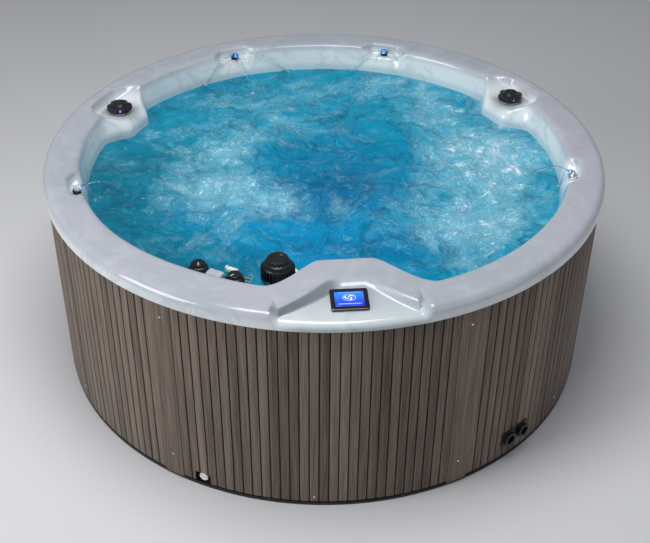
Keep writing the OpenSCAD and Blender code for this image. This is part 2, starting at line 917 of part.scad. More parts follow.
module skimmer_basket() {
    color(black)
        at_polar(filter_r, filter_a, skimmer_z0)
            difference() {
                union() {
                    cylinder(h = skimmer_foot_h, r = skimmer_r);
                    cylinder(h = skimmer_body_h, r = skimmer_body_r);
                    for (i = [0:skimmer_ribs - 1])
                        rotate([0, 0, i * 360 / skimmer_ribs])
                            translate([skimmer_body_r - rib_d + 5, -rib_t / 2, rib_z])
                                cube([rib_d, rib_t, skimmer_body_h - rib_below - rib_z]);
                    translate([0, 0, skimmer_body_h - cut_over])
                        cylinder(h = skimmer_step_h - skimmer_body_h + cut_over, r = skimmer_step_r);
                    translate([0, 0, skimmer_step_h - cut_over])
                        cylinder(h = skimmer_h - skimmer_step_h + cut_over, r = skimmer_top_r);
                }
                translate([0, 0, -cut_over])
                    cylinder(h = stem_up + 2 * cut_over, r = stem_r + run_gap);
            }
}

lens_r = 8;
spout_r = nozzle_r * 0.8;
spout_l = nozzle_h * 0.75;
spout_z = nozzle_h * 0.5;
spout_lean = 60;
lens_in = 2;
nozzle_body_h = nozzle_h * 0.6;

module fountain_nozzle(a) {
    color(black)
        at_polar(fountain_at, a, pocket_z + flange_h + run_gap)
            difference() {
                union() {
                    cylinder(h = nozzle_body_h, r = nozzle_r);
                    translate([0, 0, spout_z])
                        rotate([0, -spout_lean, 0])
                            cylinder(h = spout_l, r = spout_r);
                    translate([0, 0, -spigot_l])
                        cylinder(h = spigot_l + cut_over, r = small_spigot_r);
                }
                translate([0, 0, spout_z])
                    rotate([0, -spout_lean, 0])
                        translate([0, 0, spout_l - lens_in])
                            cylinder(h = lens_in + cut_over, r = lens_r);
            }
}

housing_over = 5;
housing_l = 55;

module fountain_housings() {
    color(grey)
        for (a = fountain_a)
            at_polar(fountain_at, a, pocket_z)
                valve_body(housing_r, housing_r + housing_over, housing_l, small_spigot_r + spigot_gap);
}

jet_eye_r = jet_r - 15;
jet_depth = 62;
jet_flange_h = 7;
jet_seat = 18;
jet_bore_l = 45;
face_h = 14;
face_out = 2;
face_stem_l = 40;
eye_at = jet_eye_r * 0.52;
eye_r = 8;
eye_d = 9;

module jet_body() {
    difference() {
        union() {
            translate([0, 0, -wall_bow - jet_flange_h])
                cylinder(h = jet_flange_h, r = jet_r);
            translate([0, 0, -wall_bow - cut_over])
                cylinder(h = jet_depth, r = jet_barrel_r);
        }
        translate([0, 0, -wall_bow - jet_flange_h - cut_over])
            cylinder(h = jet_seat + jet_flange_h + cut_over, r = jet_eye_r + run_gap / 2);
        cylinder(h = jet_bore_l, r = spigot_r + spigot_gap);
    }
}

module jet_bodies() {
    color(steel)
        for (a = seat_a)
            on_wall(a, jet_z)
                jet_body();
}

module jet_face(a) {
    color(steel)
        on_wall(a, jet_z)
            difference() {
                union() {
                    translate([0, 0, -wall_bow - jet_flange_h - face_out])
                        cylinder(h = face_h, r = jet_eye_r - run_gap);
                    cylinder(h = face_stem_l, r = spigot_r);
                }
                for (side = [-1, 1])
                    translate([side * eye_at, 0, -wall_bow - jet_flange_h - face_out - cut_over])
                        cylinder(h = eye_d + cut_over, r = eye_r);
            }
}

small_flange_h = 5;
small_barrel_l = 42;
small_bore_d = 14;
small_wall = 4;

module small_jets() {
    color(steel)
        for (a = seat_a)
            for (side = [-1, 1])
                on_wall(a + side * small_jet_turn, small_jet_z)
                    difference() {
                        union() {
                            translate([0, 0, -small_bow - small_flange_h])
                                cylinder(h = small_flange_h, r = small_jet_r);
                            translate([0, 0, -small_bow - cut_over])
                                cylinder(h = small_barrel_l, r = small_barrel_r);
                        }
                        translate([0, 0, -small_bow - small_flange_h - cut_over])
                            cylinder(h = small_bore_d, r = small_barrel_r - small_wall);
                    }
}

suction_z = pump_z + 90;
suction_cover_r = 54;
suction_barrel_l = 30;
cover_h = 10;
cover_inner = 6;
cover_hole_r = 5;
cover_hole_at = suction_cover_r * 0.72;
cover_holes = 8;

module suction_covers() {
    color(pvc)
        for (a = suction_a)
            on_well(a, suction_z)
                difference() {
                    union() {
                        translate([0, 0, -well_bow - cover_h])
                            cylinder(h = cover_h, r = suction_cover_r);
                        translate([0, 0, -well_bow - cut_over])
                            cylinder(h = suction_barrel_l + well_bow + cut_over, r = suction_barrel_r);
                    }
                    translate([0, 0, -well_bow - cover_inner])
                        cylinder(h = suction_barrel_l + well_bow + cover_inner + cut_over, r = pipe_r - 2);
                    for (i = [0:cover_holes - 1])
                        rotate([0, 0, i * 360 / cover_holes])
                            translate([cover_hole_at, 0, -well_bow - cover_h - cut_over])
                                cylinder(h = cover_h + 2 * cut_over, r = cover_hole_r);
                }
}

drain_flange = 16;
drain_flange_h = 4;
drain_foot = 3;
drain_floor = 5;
drain_wall = 5;

module floor_drain() {
    color(pvc)
        difference() {
            union() {
                translate([0, 0, floor_z - drain_dish - seat_gap])
                    cylinder(h = drain_flange_h, r = drain_barrel_r + drain_flange);
                translate([0, 0, pan_t + drain_foot])
                    cylinder(h = floor_z - drain_dish - pan_t - drain_foot + cut_over, r = drain_barrel_r);
            }
            translate([0, 0, pan_t + drain_foot + drain_floor])
                cylinder(h = floor_z, r = drain_barrel_r - drain_wall);
        }
}

// The pump lies along local Y, with its wet end towards -Y
impeller_r = wet_r - 22;
impeller_t = 8;
impeller_in = 40;
vane_n = 6;
vane_t = 4;
vane_h = 19;
shaft_r = 9;
shaft_in = 22;
shaft_up = 50;
wet_y0 = -138;
wet_y1 = -30;
wet_mid_y = (wet_y0 + wet_y1) / 2;
wet_wall = 14;
inlet_l = 20;
outlet_z = wet_r - 12;
outlet_h = 40;
outlet_r = pipe_r - 10;
motor_y0 = -18;
motor_foot_w = motor_r * 1.6;
motor_foot_y = 10;
motor_foot_l = motor_l * 0.6;
terminal_w = 50;
terminal_l = 80;
terminal_h = 26;
terminal_y = motor_l * 0.2;
motor_bore_l = motor_l * 0.55;

module at_pump(i) {
    at_polar(pump_r, pump_a[i], pump_z)
        rotate([-90, 0, 0])
            children();
}

module pump_motor(i) {
    color(grey)
        difference() {
            union() {
                at_pump(i)
                    translate([0, 0, motor_y0])
                        cylinder(h = motor_l, r = motor_r);
                at_polar(pump_r, pump_a[i], 0)
                    translate([-motor_foot_w / 2, motor_foot_y, pan_t])
                        cube([motor_foot_w, motor_foot_l, pump_z - pan_t]);
                at_polar(pump_r, pump_a[i], pump_z)
                    translate([-terminal_w / 2, terminal_y, motor_r - 10])
                        cube([terminal_w, terminal_l, terminal_h]);
            }
            at_pump(i)
                translate([0, 0, motor_y0 - cut_over])
                    cylinder(h = motor_bore_l, r = shaft_r + spigot_gap);
        }
}

module pump_wet_end(i) {
    color(black)
        difference() {
            union() {
                at_pump(i)
                    translate([0, 0, wet_y0])
                        cylinder(h = motor_y0 - seat_gap - wet_y0, r = wet_r);
                at_pump(i)
                    translate([0, 0, wet_y0 - inlet_l])
                        cylinder(h = inlet_l + cut_over, r = pipe_r);
                at_polar(pump_r, pump_a[i], pump_z)
                    translate([0, wet_mid_y, outlet_z])
                        cylinder(h = outlet_h, r = pipe_r);
            }
            at_pump(i)
                translate([0, 0, wet_y0 + wet_wall])
                    cylinder(h = wet_y1 - wet_y0 - 2 * wet_wall, r = impeller_r + 6);
            at_pump(i)
                translate([0, 0, wet_y0 - inlet_l - cut_over])
                    cylinder(h = inlet_l + 2 * wet_wall, r = pipe_r - 5);
            at_polar(pump_r, pump_a[i], pump_z)
                translate([0, wet_mid_y, impeller_r])
                    cylinder(h = outlet_z + outlet_h - impeller_r + cut_over, r = outlet_r);
            at_pump(i)
                translate([0, 0, wet_y1 - 2 * wet_wall])
                    cylinder(h = motor_y0 - wet_y1 + 3 * wet_wall, r = shaft_r + spigot_gap);
        }
}

module pump_impeller(i) {
    color(steel)
        at_pump(i) {
            translate([0, 0, wet_y0 + impeller_in])
                cylinder(h = impeller_t, r = impeller_r);
            for (k = [0:vane_n - 1])
                rotate([0, 0, k * 360 / vane_n])
                    translate([shaft_r - 2, -vane_t / 2, wet_y0 + shaft_in])
                        cube([impeller_r - shaft_r, vane_t, vane_h]);
            translate([0, 0, wet_y0 + shaft_in])
                cylinder(h = motor_y0 - wet_y0 + shaft_up, r = shaft_r);
        }
}

heater_r = 28;
heater_l = 240;
box_h = 240;
box_w = 260;
box_d = 115;
box_x1 = skirt_r - 96;
box_x0 = box_x1 - box_d;
heater_z = pan_t + box_h + 24 + heater_r;
heater_at = box_x1 - 23;
heater_flange_h = 12;
heater_flange = 8;
heater_flange_in = 30;
bracket_w = 28;
bracket_t = 20;
bracket_h = 30;
bracket_at = 50;
lid_in = 12;
lid_out = 6;
lid_foot = 30;
lid_h = box_h - 50;

module heater() {
    color(steel)
        rotate([0, 0, heater_a]) {
            translate([heater_at, -heater_l / 2, heater_z])
                rotate([-90, 0, 0])
                    cylinder(h = heater_l, r = heater_r);
            for (side = [-1, 1])
                translate([heater_at, side * (heater_l / 2 - heater_flange_in), heater_z])
                    rotate([90, 0, 0])
                        cylinder(h = heater_flange_h, r = heater_r + heater_flange, center = true);
            for (side = [-1, 1])
                translate([heater_at - bracket_w / 2, side * bracket_at - bracket_t / 2, pan_t + box_h])
                    cube([bracket_w, bracket_t, bracket_h]);
        }
}

module control_box() {
    color([0.2, 0.21, 0.23])
        rotate([0, 0, heater_a]) {
            translate([box_x0, -box_w / 2, pan_t])
                cube([box_x1 - box_x0, box_w, box_h]);
            translate([box_x0 - lid_out, -box_w / 2 + lid_in, pan_t + lid_foot])
                cube([lid_out + cut_over, box_w - 2 * lid_in, lid_h]);
        }
}

blower_at = skirt_r - 107 - blower_r;
blower_h = 120;
blower_wall = 4;
blower_neck_r = 16;
blower_neck_h = 30;
axle_r = 5;
wheel_r = blower_r - 14;
wheel_z = 20;
wheel_t = 6;
fin_n = 12;
fin_t = 3;
fin_d = 20;
fin_h = blower_h - 50;

module blower_housing() {
    color(black)
        at_polar(blower_at, blower_a, pan_t)
            difference() {
                union() {
                    cylinder(h = blower_h, r = blower_r);
                    translate([0, 0, blower_h - cut_over])
                        cylinder(h = blower_neck_h + cut_over, r = blower_neck_r);
                }
                translate([0, 0, blower_wall])
                    cylinder(h = blower_h - 2 * blower_wall, r = blower_r - blower_wall);
                translate([0, 0, blower_h - blower_wall - cut_over])
                    cylinder(h = blower_neck_h + blower_wall + 2 * cut_over, r = air_tube_r - 4);
                translate([0, 0, -cut_over])
                    cylinder(h = blower_wall + 2 * cut_over, r = axle_r + spigot_gap);
            }
}

module blower_wheel() {
    color(grey)
        at_polar(blower_at, blower_a, pan_t) {
            translate([0, 0, wheel_z])
                cylinder(h = wheel_t, r = wheel_r);
            for (k = [0:fin_n - 1])
                rotate([0, 0, k * 360 / fin_n])
                    translate([wheel_r - fin_d - 2, -fin_t / 2, wheel_z + wheel_t - cut_over])
                        cube([fin_d, fin_t, fin_h]);
            translate([0, 0, cut_over])
                cylinder(h = wheel_z + wheel_t, r = axle_r);
        }
}

drain_end = skirt_r - 12;
drain_pipe_r = 8;
drain_pipe_z = pan_t + 12;
spout_len = 90;
drain_join = drain_end - 80;
stand_w = 24;
spout_wall = 4;
spout_bore = 20;
cap_over = 4;
cap_h = 7;
plug_l = 15;
grip_w = 4;

module drain_outlet() {
    color(white)
        difference() {
            union() {
                at_polar(drain_end - spout_len, drain_a, screw_foot)
                    rotate([0, 90, 0])
                        cylinder(h = spout_len, r = drain_r);
                at_polar(drain_end - spout_len, drain_a, pan_t)
                    translate([0, -stand_w / 2, 0])
                        cube([stand_w, stand_w, screw_foot - pan_t]);
                rotate([0, 0, drain_a])
                    rod(
                        [drain_barrel_r + seat_gap, 0, drain_pipe_z],
                        [drain_join, 0, drain_pipe_z],
                        drain_pipe_r
                    );
            }
            at_polar(drain_end - spout_bore, drain_a, screw_foot)
                rotate([0, 90, 0])
                    cylinder(h = spout_bore + cut_over, r = drain_r - spout_wall);
        }
}

module drain_cap() {
    color(white)
        at_polar(drain_end + seat_gap, drain_a, screw_foot)
            rotate([0, 90, 0]) {
                cylinder(h = cap_h, r = drain_r + cap_over);
                translate([0, 0, -plug_l])
                    cylinder(h = plug_l + cut_over, r = drain_r - spout_wall - spigot_gap);
                translate([-grip_w / 2, -drain_r, cap_h - cut_over])
                    cube([grip_w, 2 * drain_r, grip_w]);
            }
}

plate_t = 5;
plate_w = 58;
plate_h = 64;
plate_drop = 34;
vent_r = 27;
vent_l = 11;
vent_bore_r = inlet_r - 4;
throat_l = 50;
inlet_seat = 0.3;

module air_inlets() {
    color(black)
        for (a = inlet_a)
            at_polar(skirt_r + inlet_seat, a, inlet_z)
                difference() {
                    union() {
                        translate([0, -plate_w / 2, -plate_drop])
                            cube([plate_t, plate_w, plate_h]);
                        translate([plate_t - cut_over, 0, 0])
                            rotate([0, 90, 0])
                                cylinder(h = vent_l + cut_over, r = vent_r);
                        translate([-throat_l, 0, 0])
                            rotate([0, 90, 0])
                                cylinder(h = throat_l + cut_over, r = inlet_r);
                    }
                    translate([-throat_l - cut_over, 0, 0])
                        rotate([0, 90, 0])
                            cylinder(h = throat_l + plate_t + vent_l + 2 * cut_over, r = vent_bore_r);
                }
}

pump_out_z = pump_z + outlet_z + outlet_h;
riser_z = 330;
branch_r = 11;
heater_pipe_r = 13;
heater_port = heater_l / 2 - 60;
branch_at = water_ring_r - 12;
branch_rise = tan(wall_a) * (branch_at + branch_r - wall_r(jet_z));
jet_under_z = jet_z - branch_rise - jet_barrel_r / cos(wall_a) - seat_gap;

module water_manifold() {
    color(pvc) {
        ring_tube(water_ring_r, water_tube_r, water_ring_z);
        for (a = seat_a)
            at_polar(branch_at, a, water_ring_z)
                cylinder(h = jet_under_z - water_ring_z, r = branch_r);
        for (i = [0, 1])
            rotate([0, 0, pump_a[i]])
                pipe_run([
                    [pump_r, wet_mid_y, pump_out_z + seat_gap],
                    [pump_r, wet_mid_y, riser_z],
                    [water_ring_r, wet_mid_y, riser_z],
                    [water_ring_r - 4, wet_mid_y, water_ring_z]
                ], water_tube_r - 2);
        rotate([0, 0, heater_a])
            for (side = [-1, 1])
                translate([heater_at, side * heater_port, heater_z + heater_r + seat_gap])
                    cylinder(h = water_ring_z - heater_z - heater_r, r = heater_pipe_r);
    }
}

air_tap = 34;
air_branch_r = 5;
air_run_z = pan_t + blower_h + blower_neck_h + 40;
air_tap_z = small_jet_z - air_tap * tan(wall_a) + small_barrel_r + 4;

module air_manifold() {
    color(grey) {
        ring_tube(air_ring_r, air_tube_r, air_ring_z);
        rotate([0, 0, blower_a])
            pipe_run([
                [blower_at, 0, pan_t + blower_h + blower_neck_h + seat_gap],
                [blower_at, 0, air_run_z],
                [air_ring_r, 0, air_run_z],
                [air_ring_r, 0, air_ring_z]
            ], air_tube_r - 1);
        for (a = seat_a)
            for (side = [-1, 1])
                at_polar(0, a + side * small_jet_turn, 0)
                    rod(
                        [wall_r(small_jet_z) + air_tap, 0, air_tap_z],
                        [air_ring_r, 0, air_ring_z],
                        air_branch_r
                    );
    }
}

gate_w = 46;
gate_t = 34;
gate_under = 34;
gate_top = 30;
gate_open = 20;
blade_w = 66;
blade_t = 5.6;
blade_gap = 0.4;
handle_t = 16;
handle_w = 56;
handle_h = 14;
handle_up = 28;
filter_pipe_r = 18;
filter_pipe_z = 300;
filter_join_r = pump_r - 50;
suction_run_z = suction_z - suction_barrel_l * sin(well_a);

function in_pump(i, y, z) = [
    pump_r * cos(pump_a[i]) - y * sin(pump_a[i]),
    pump_r * sin(pump_a[i]) + y * cos(pump_a[i]),
    z
];

module suction_pipes() {
    from_r = well_wall_r(suction_z) + suction_barrel_l + suction_barrel_r * sin(well_a) + seat_gap;
    color(pvc) {
        for (i = [0, 1]) {
            rod(polar(from_r, suction_a[i], suction_run_z),
                polar(gate_r - gate_t / 2 - seat_gap, suction_a[i], suction_run_z), pipe_r);
            pipe_run([
                polar(gate_r + gate_t / 2 + seat_gap, suction_a[i], suction_run_z),
                in_pump(i, -suction_y, suction_run_z),
                in_pump(i, -suction_y, pump_z),
                in_pump(i, wet_y0 - inlet_l - seat_gap, pump_z)
            ], pipe_r);
        }
        pipe_run([
            polar(filter_r, filter_a, canister_z0 - outlet_l - seat_gap),
            polar(filter_r, filter_a, filter_pipe_z),
            polar(filter_join_r, suction_a[0], filter_pipe_z),
            polar(filter_join_r, suction_a[0], suction_run_z)
        ], filter_pipe_r);
    }
}

module gate_valves() {
    color(pvc)
        for (a = suction_a)
            at_polar(gate_r, a, suction_run_z)
                difference() {
                    translate([-gate_t / 2, -gate_w, -gate_under])
                        cube([gate_t, 2 * gate_w, gate_under + gate_top]);
                    translate([-blade_t / 2 - blade_gap, -blade_w / 2 - 1, -gate_open - 2])
                        cube([blade_t + 2 * blade_gap, blade_w + 2, gate_under + gate_top]);
                    rotate([0, 90, 0])
                        cylinder(h = gate_t + 2 * cut_over, r = gate_open - 2, center = true);
                }
}

module gate_handle(i) {
    color([0.75, 0.1, 0.1])
        at_polar(gate_r, suction_a[i], suction_run_z) {
            translate([-blade_t / 2, -blade_w / 2, gate_open])
                cube([blade_t, blade_w, gate_top + handle_up]);
            translate([-handle_t / 2, -handle_w / 2, gate_open + gate_top + handle_up - cut_over])
                cube([handle_t, handle_w, handle_h]);
        }
}

shell();
base_pan();
well_support();
frame_posts();
frame_rings();
front_panel();
side_panel(1);  // side_panel_1
side_panel(2);  // side_panel_2
side_panel(3);  // side_panel_3
side_panel(4);  // side_panel_4
side_panel(5);  // side_panel_5
corner_battens();
batten_screws();
panel_screws();
front_panel_screw();
display_bezel();
display_screen();
diverter_knob(shoulder_a[0]);  // diverter_knob_left
diverter_knob(shoulder_a[1]);  // diverter_knob_right
diverter_valves();
air_knob(air_knob_a[0]);  // air_knob_left
air_knob(air_knob_a[1]);  // air_knob_right
air_valves();
filter_canister();
filter_cartridge();
skimmer_basket();
fountain_nozzle(fountain_a[0]);  // fountain_nozzle_1
fountain_nozzle(fountain_a[1]);  // fountain_nozzle_2
fountain_nozzle(fountain_a[2]);  // fountain_nozzle_3
fountain_nozzle(fountain_a[3]);  // fountain_nozzle_4
fountain_housings();
jet_face(seat_a[0]);  // jet_face_1
jet_face(seat_a[1]);  // jet_face_2
jet_face(seat_a[2]);  // jet_face_3
jet_face(seat_a[3]);  // jet_face_4
jet_face(seat_a[4]);  // jet_face_5
jet_face(seat_a[5]);  // jet_face_6
jet_bodies();
small_jets();
suction_covers();
floor_drain();
pump_motor(0);  // pump_1_motor
pump_wet_end(0);  // pump_1_wet_end
pump_impeller(0);  // pump_1_impeller
pump_motor(1);  // pump_2_motor
pump_wet_end(1);  // pump_2_wet_end
pump_impeller(1);  // pump_2_impeller
heater();
control_box();
blower_housing();
blower_wheel();
drain_outlet();
drain_cap();
air_inlets();
water_manifold();
air_manifold();
suction_pipes();
gate_valves();
gate_handle(0);  // gate_handle_1
gate_handle(1);  // gate_handle_2
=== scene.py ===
import json
import math
import random

import bmesh
import bpy
from mathutils import Matrix, Vector, noise

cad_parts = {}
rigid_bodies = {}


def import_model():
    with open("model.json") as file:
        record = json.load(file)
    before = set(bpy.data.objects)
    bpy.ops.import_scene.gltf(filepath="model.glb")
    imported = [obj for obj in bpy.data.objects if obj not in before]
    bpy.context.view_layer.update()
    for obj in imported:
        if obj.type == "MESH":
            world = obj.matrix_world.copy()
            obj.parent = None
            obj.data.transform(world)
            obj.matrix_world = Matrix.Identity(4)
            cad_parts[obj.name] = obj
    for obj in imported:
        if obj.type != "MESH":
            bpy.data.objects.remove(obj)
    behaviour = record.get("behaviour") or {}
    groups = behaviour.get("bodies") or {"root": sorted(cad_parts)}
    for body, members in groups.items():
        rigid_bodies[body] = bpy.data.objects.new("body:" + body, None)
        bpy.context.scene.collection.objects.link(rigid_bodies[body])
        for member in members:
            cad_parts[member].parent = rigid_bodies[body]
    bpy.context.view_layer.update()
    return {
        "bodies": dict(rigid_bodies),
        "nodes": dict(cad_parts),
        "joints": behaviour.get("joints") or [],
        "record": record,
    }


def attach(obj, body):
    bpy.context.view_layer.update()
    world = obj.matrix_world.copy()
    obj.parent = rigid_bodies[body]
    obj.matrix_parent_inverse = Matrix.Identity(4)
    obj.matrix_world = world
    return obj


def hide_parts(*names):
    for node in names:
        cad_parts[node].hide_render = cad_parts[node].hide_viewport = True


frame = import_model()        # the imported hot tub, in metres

nodes = frame["nodes"]
chance = random.Random(11)
noise.seed_set(11)       # without a seed its offsets follow the clock

# The camera stands where the photograph was taken from, above and a little left of the display
view = {
    "place": (-0.2759, -3.6691, 2.9225),
    "ahead": (0.0621, 0.8065, -0.5879),
    "roll": 0.0083,
    "lens": 62.0,
    "sensor": 36.0,
}


def setCamera():
    ahead = Vector(view["ahead"]).normalized()
    right = ahead.cross(Vector((0, 0, 1))).normalized()
    up = right.cross(ahead)
    side = right * math.cos(view["roll"]) + up * math.sin(view["roll"])
    top = up * math.cos(view["roll"]) - right * math.sin(view["roll"])
    lens = bpy.data.cameras.new("viewCamera")
    lens.lens = view["lens"]
    lens.sensor_fit = "HORIZONTAL"
    lens.sensor_width = view["sensor"]
    lens.clip_end = 200
    camera = bpy.data.objects.new("viewCamera", lens)
    turn = Matrix((side, top, -ahead)).transposed().to_4x4()
    camera.matrix_world = Matrix.Translation(view["place"]) @ turn
    bpy.context.scene.collection.objects.link(camera)
    bpy.context.scene.camera = camera


setCamera()
bpy.context.scene.view_settings.view_transform = "Standard"


# Shader sums read as plain sums: a Value stands for one output socket
def shaderSum(operation, swapped=False):
    def work(self, other):
        return self.finish.maths(operation, *((other, self) if swapped else (self, other)))
    return work


class Value:
    __add__, __radd__ = shaderSum("ADD"), shaderSum("ADD", True)
    __sub__, __rsub__ = shaderSum("SUBTRACT"), shaderSum("SUBTRACT", True)
    __mul__, __rmul__ = shaderSum("MULTIPLY"), shaderSum("MULTIPLY", True)
    __lt__ = shaderSum("LESS_THAN")

    def __init__(self, finish, socket):
        self.finish = finish
        self.socket = socket


def tint(red, green, blue):
    # a colour as the eye names it, 0 to 255, in the linear values that shaders take
    def linear(part):
        part = part / 255
        return part / 12.92 if part <= 0.04045 else ((part + 0.055) / 1.055) ** 2.4
    return (linear(red), linear(green), linear(blue), 1.0)


class Finish:
    def __init__(self, name, **constants):
        self.material = bpy.data.materials.new(name)
        self.material.use_nodes = True
        self.tree = self.material.node_tree
        self.shader = self.tree.nodes["Principled BSDF"]
        self.point = self.node("ShaderNodeTexCoord", out="Object")
        for name, value in constants.items():
            self.shader.inputs[name.replace("_", " ")].default_value = value

    def node(self, kind, settings=None, values=None, out=0):
        made = self.tree.nodes.new(kind)
        for name, value in (settings or {}).items():
            if name == "stops":
                self.setStops(made.color_ramp, value)
            else:
                setattr(made, name, value)
        for name, value in (values or {}).items():
            self.feed(made.inputs[name], value)
        return Value(self, made.outputs[out])

    def setStops(self, ramp, stops):
        while len(ramp.elements) < len(stops):
            ramp.elements.new(0.5)
        for element, (place, colour) in zip(ramp.elements, stops):
            element.position = place
            element.color = colour if len(colour) == 4 else (*colour, 1.0)

    def feed(self, socket, value):
        if isinstance(value, Value):
            self.tree.links.new(value.socket, socket)
        else:
            socket.default_value = value

    def give(self, **values):
        for name, value in values.items():
            self.feed(self.shader.inputs[name.replace("_", " ")], value)
        return self

    def maths(self, operation, *values, clamp=False):
        settings = {"operation": operation, "use_clamp": clamp}
        return self.node("ShaderNodeMath", settings, dict(enumerate(values)))

    def clamped(self, value):
        return self.maths("ADD", value, 0.0, clamp=True)

    def vector(self, operation, first, second, out=0):
        return self.node("ShaderNodeVectorMath", {"operation": operation}, {0: first, 1: second}, out=out)

    def along(self, axis, origin):
        # how far a point lies from the origin along an axis
        return self.vector("DOT_PRODUCT", self.point, tuple(axis), out="Value") - axis.dot(origin)

    def mark(self, name):
        # a value painted on the mesh
        return self.node("ShaderNodeAttribute", {"attribute_name": name}, out="Fac")

    def axes(self, vector=None):
        split = self.tree.nodes.new("ShaderNodeSeparateXYZ")
        self.feed(split.inputs[0], vector or self.point)
        return [Value(self, out) for out in split.outputs]

    def joined(self, x, y, z):
        return self.node("ShaderNodeCombineXYZ", None, {"X": x, "Y": y, "Z": z})

    def stretched(self, scale, vector=None):
        return self.vector("MULTIPLY", vector or self.point, tuple(scale))

    def cloud(self, scale, detail=3.0, rough=0.5, bend=0.0, where=None, out=0):
        values = {"Vector": where or self.point, "Scale": scale, "Detail": detail, "Roughness": rough}
        values["Distortion"] = bend
        return self.node("ShaderNodeTexNoise", None, values, out=out)

    def cells(self, scale, where=None, feature="F1"):
        values = {"Vector": where or self.point, "Scale": scale}
        return self.node("ShaderNodeTexVoronoi", {"feature": feature}, values, out="Distance")

    def band(self, value, low, high):
        # 0 below low, 1 above high, smooth between
        made = self.tree.nodes.new("ShaderNodeMapRange")
        made.interpolation_type = "SMOOTHSTEP"
        for place, number in enumerate((value, low, high, 0.0, 1.0)):
            self.feed(made.inputs[place], number)
        return Value(self, made.outputs[0])

    def stirred(self, where, scale, detail, amount):
        # the space itself, pushed about by noise
        colours = self.cloud(scale, detail, 0.6, where=where, out="Color")
        push = self.vector("SUBTRACT", colours, (0.5, 0.5, 0.5))
        return self.vector("ADD", where, self.vector("MULTIPLY", push, amount))

    def blend(self, factor, first, second):
        settings = {"data_type": "RGBA", "blend_type": "MIX"}
        return self.node("ShaderNodeMix", settings, {0: factor, 6: first, 7: second}, out=2)

    def layered(self, base, *layers):
        # colours laid over a base, each with its strength
        for factor, colour in layers:
            base = self.blend(factor, base, colour)
        return base

    def ramp(self, value, *stops):
        return self.node("ShaderNodeValToRGB", {"stops": stops}, {0: value})

    def bump(self, height, distance, strength=1.0, under=None):
        values = {"Height": height, "Distance": distance, "Strength": strength}
        if under:
            values["Normal"] = under
        return self.node("ShaderNodeBump", None, values)


def deselect():
    if bpy.context.mode != "OBJECT":
        bpy.ops.object.mode_set(mode="OBJECT")
    bpy.ops.object.select_all(action="DESELECT")


def take(piece):
    deselect()
    piece.select_set(True)
    bpy.context.view_layer.objects.active = piece


def settle(piece, name=None):
    # the piece's place goes into its mesh, as a CAD node's does
    take(piece)
    bpy.ops.object.transform_apply(location=True, rotation=True, scale=True)
    if name:
        piece.name = name
        piece.data.name = name
    return piece


def editing(piece, kind="FACE"):
    # edit mode, with everything selected
    take(piece)
    bpy.ops.object.mode_set(mode="EDIT")
    bpy.ops.mesh.select_mode(type=kind)
    bpy.ops.mesh.select_all(action="SELECT")


def done():
    bpy.ops.object.mode_set(mode="OBJECT")


def pickFaces(piece, wanted):
    bpy.ops.mesh.select_all(action="DESELECT")
    shape = bmesh.from_edit_mesh(piece.data)
    for face in shape.faces:
        if wanted(face.calc_center_median(), face.normal):
            face.select_set(True)
    bmesh.update_edit_mesh(piece.data)


def modified(piece, kind, **settings):
    take(piece)
    step = piece.modifiers.new(kind.lower(), kind)
    for name, value in settings.items():
        setattr(step, name, value)
    bpy.ops.object.modifier_apply(modifier=step.name)
    return piece


def softened(piece, width, segments=2, angle=30):
    return modified(piece, "BEVEL", width=width, segments=segments, limit_method="ANGLE",
                    angle_limit=math.radians(angle), harden_normals=False)


def smoothed(piece, angle=35):
    take(piece)
    bpy.ops.object.shade_smooth_by_angle(angle=math.radians(angle))
    return piece


def outward(piece):
    editing(piece)
    bpy.ops.mesh.remove_doubles(threshold=0.00001)
    bpy.ops.mesh.normals_make_consistent(inside=False)
    done()
    return piece


def closedUp(piece, name, ends=True):
    # open ends closed, faces turned outwards
    bpy.ops.mesh.select_all(action="SELECT")
    if ends:
        bpy.ops.mesh.fill_holes(sides=0)
    bpy.ops.mesh.normals_make_consistent(inside=False)
    done()
    return settle(piece, name)


def firstRing(radius, steps, place):
    deselect()
    bpy.ops.mesh.primitive_circle_add(vertices=steps, radius=radius, location=place)
    piece = bpy.context.object
    editing(piece, "VERT")
    return piece


# A round piece, made as on a lathe: rings of the given radii and heights, joined by extruding
def turned(name, rows, steps=48, closed=True):
    piece = firstRing(rows[0][0], steps, (0, 0, rows[0][1]))
    for (r0, z0), (r1, z1) in zip(rows, rows[1:]):
        bpy.ops.mesh.extrude_region_move(TRANSFORM_OT_translate={"value": (0, 0, z1 - z0)})
        bpy.ops.transform.resize(value=(r1 / r0, r1 / r0, 1), center_override=(0, 0, z1))
    return closedUp(piece, name, closed)


def boxed(name, size, centre=(0, 0, 0), edge=0.0, segments=2):
    deselect()
    bpy.ops.mesh.primitive_cube_add(size=1, location=centre)
    piece = bpy.context.object
    piece.scale = size
    settle(piece, name)
    return softened(piece, edge, segments) if edge else piece


def roundPlate(name, length, width, low, high, corner, edge=0.0):
    # a plate with round corners, lying flat
    plate = boxed(name, (length, width, high - low), (0, 0, (low + high) / 2))
    editing(plate, "EDGE")
    shape = bmesh.from_edit_mesh(plate.data)
    for side in shape.edges:
        first, last = side.verts
        side.select_set((first.co - last.co).xy.length < 0.00001)
    bmesh.update_edit_mesh(plate.data)
    bpy.ops.mesh.bevel(offset=corner, segments=5, affect="EDGES")
    done()
    return softened(plate, edge, 2, 50) if edge else plate


def fluted(piece, count, depth, low, high, inner=0.0, power=1.0, phase=0.0):
    # hollows run up a round piece between two heights
    for v in piece.data.vertices:
        radius = v.co.xy.length
        if low <= v.co.z <= high and radius > inner:
            wave = 0.5 - 0.5 * math.cos(count * (math.atan2(v.co.y, v.co.x) + phase))
            v.co.xy *= (radius - depth * wave ** power) / radius
    return piece


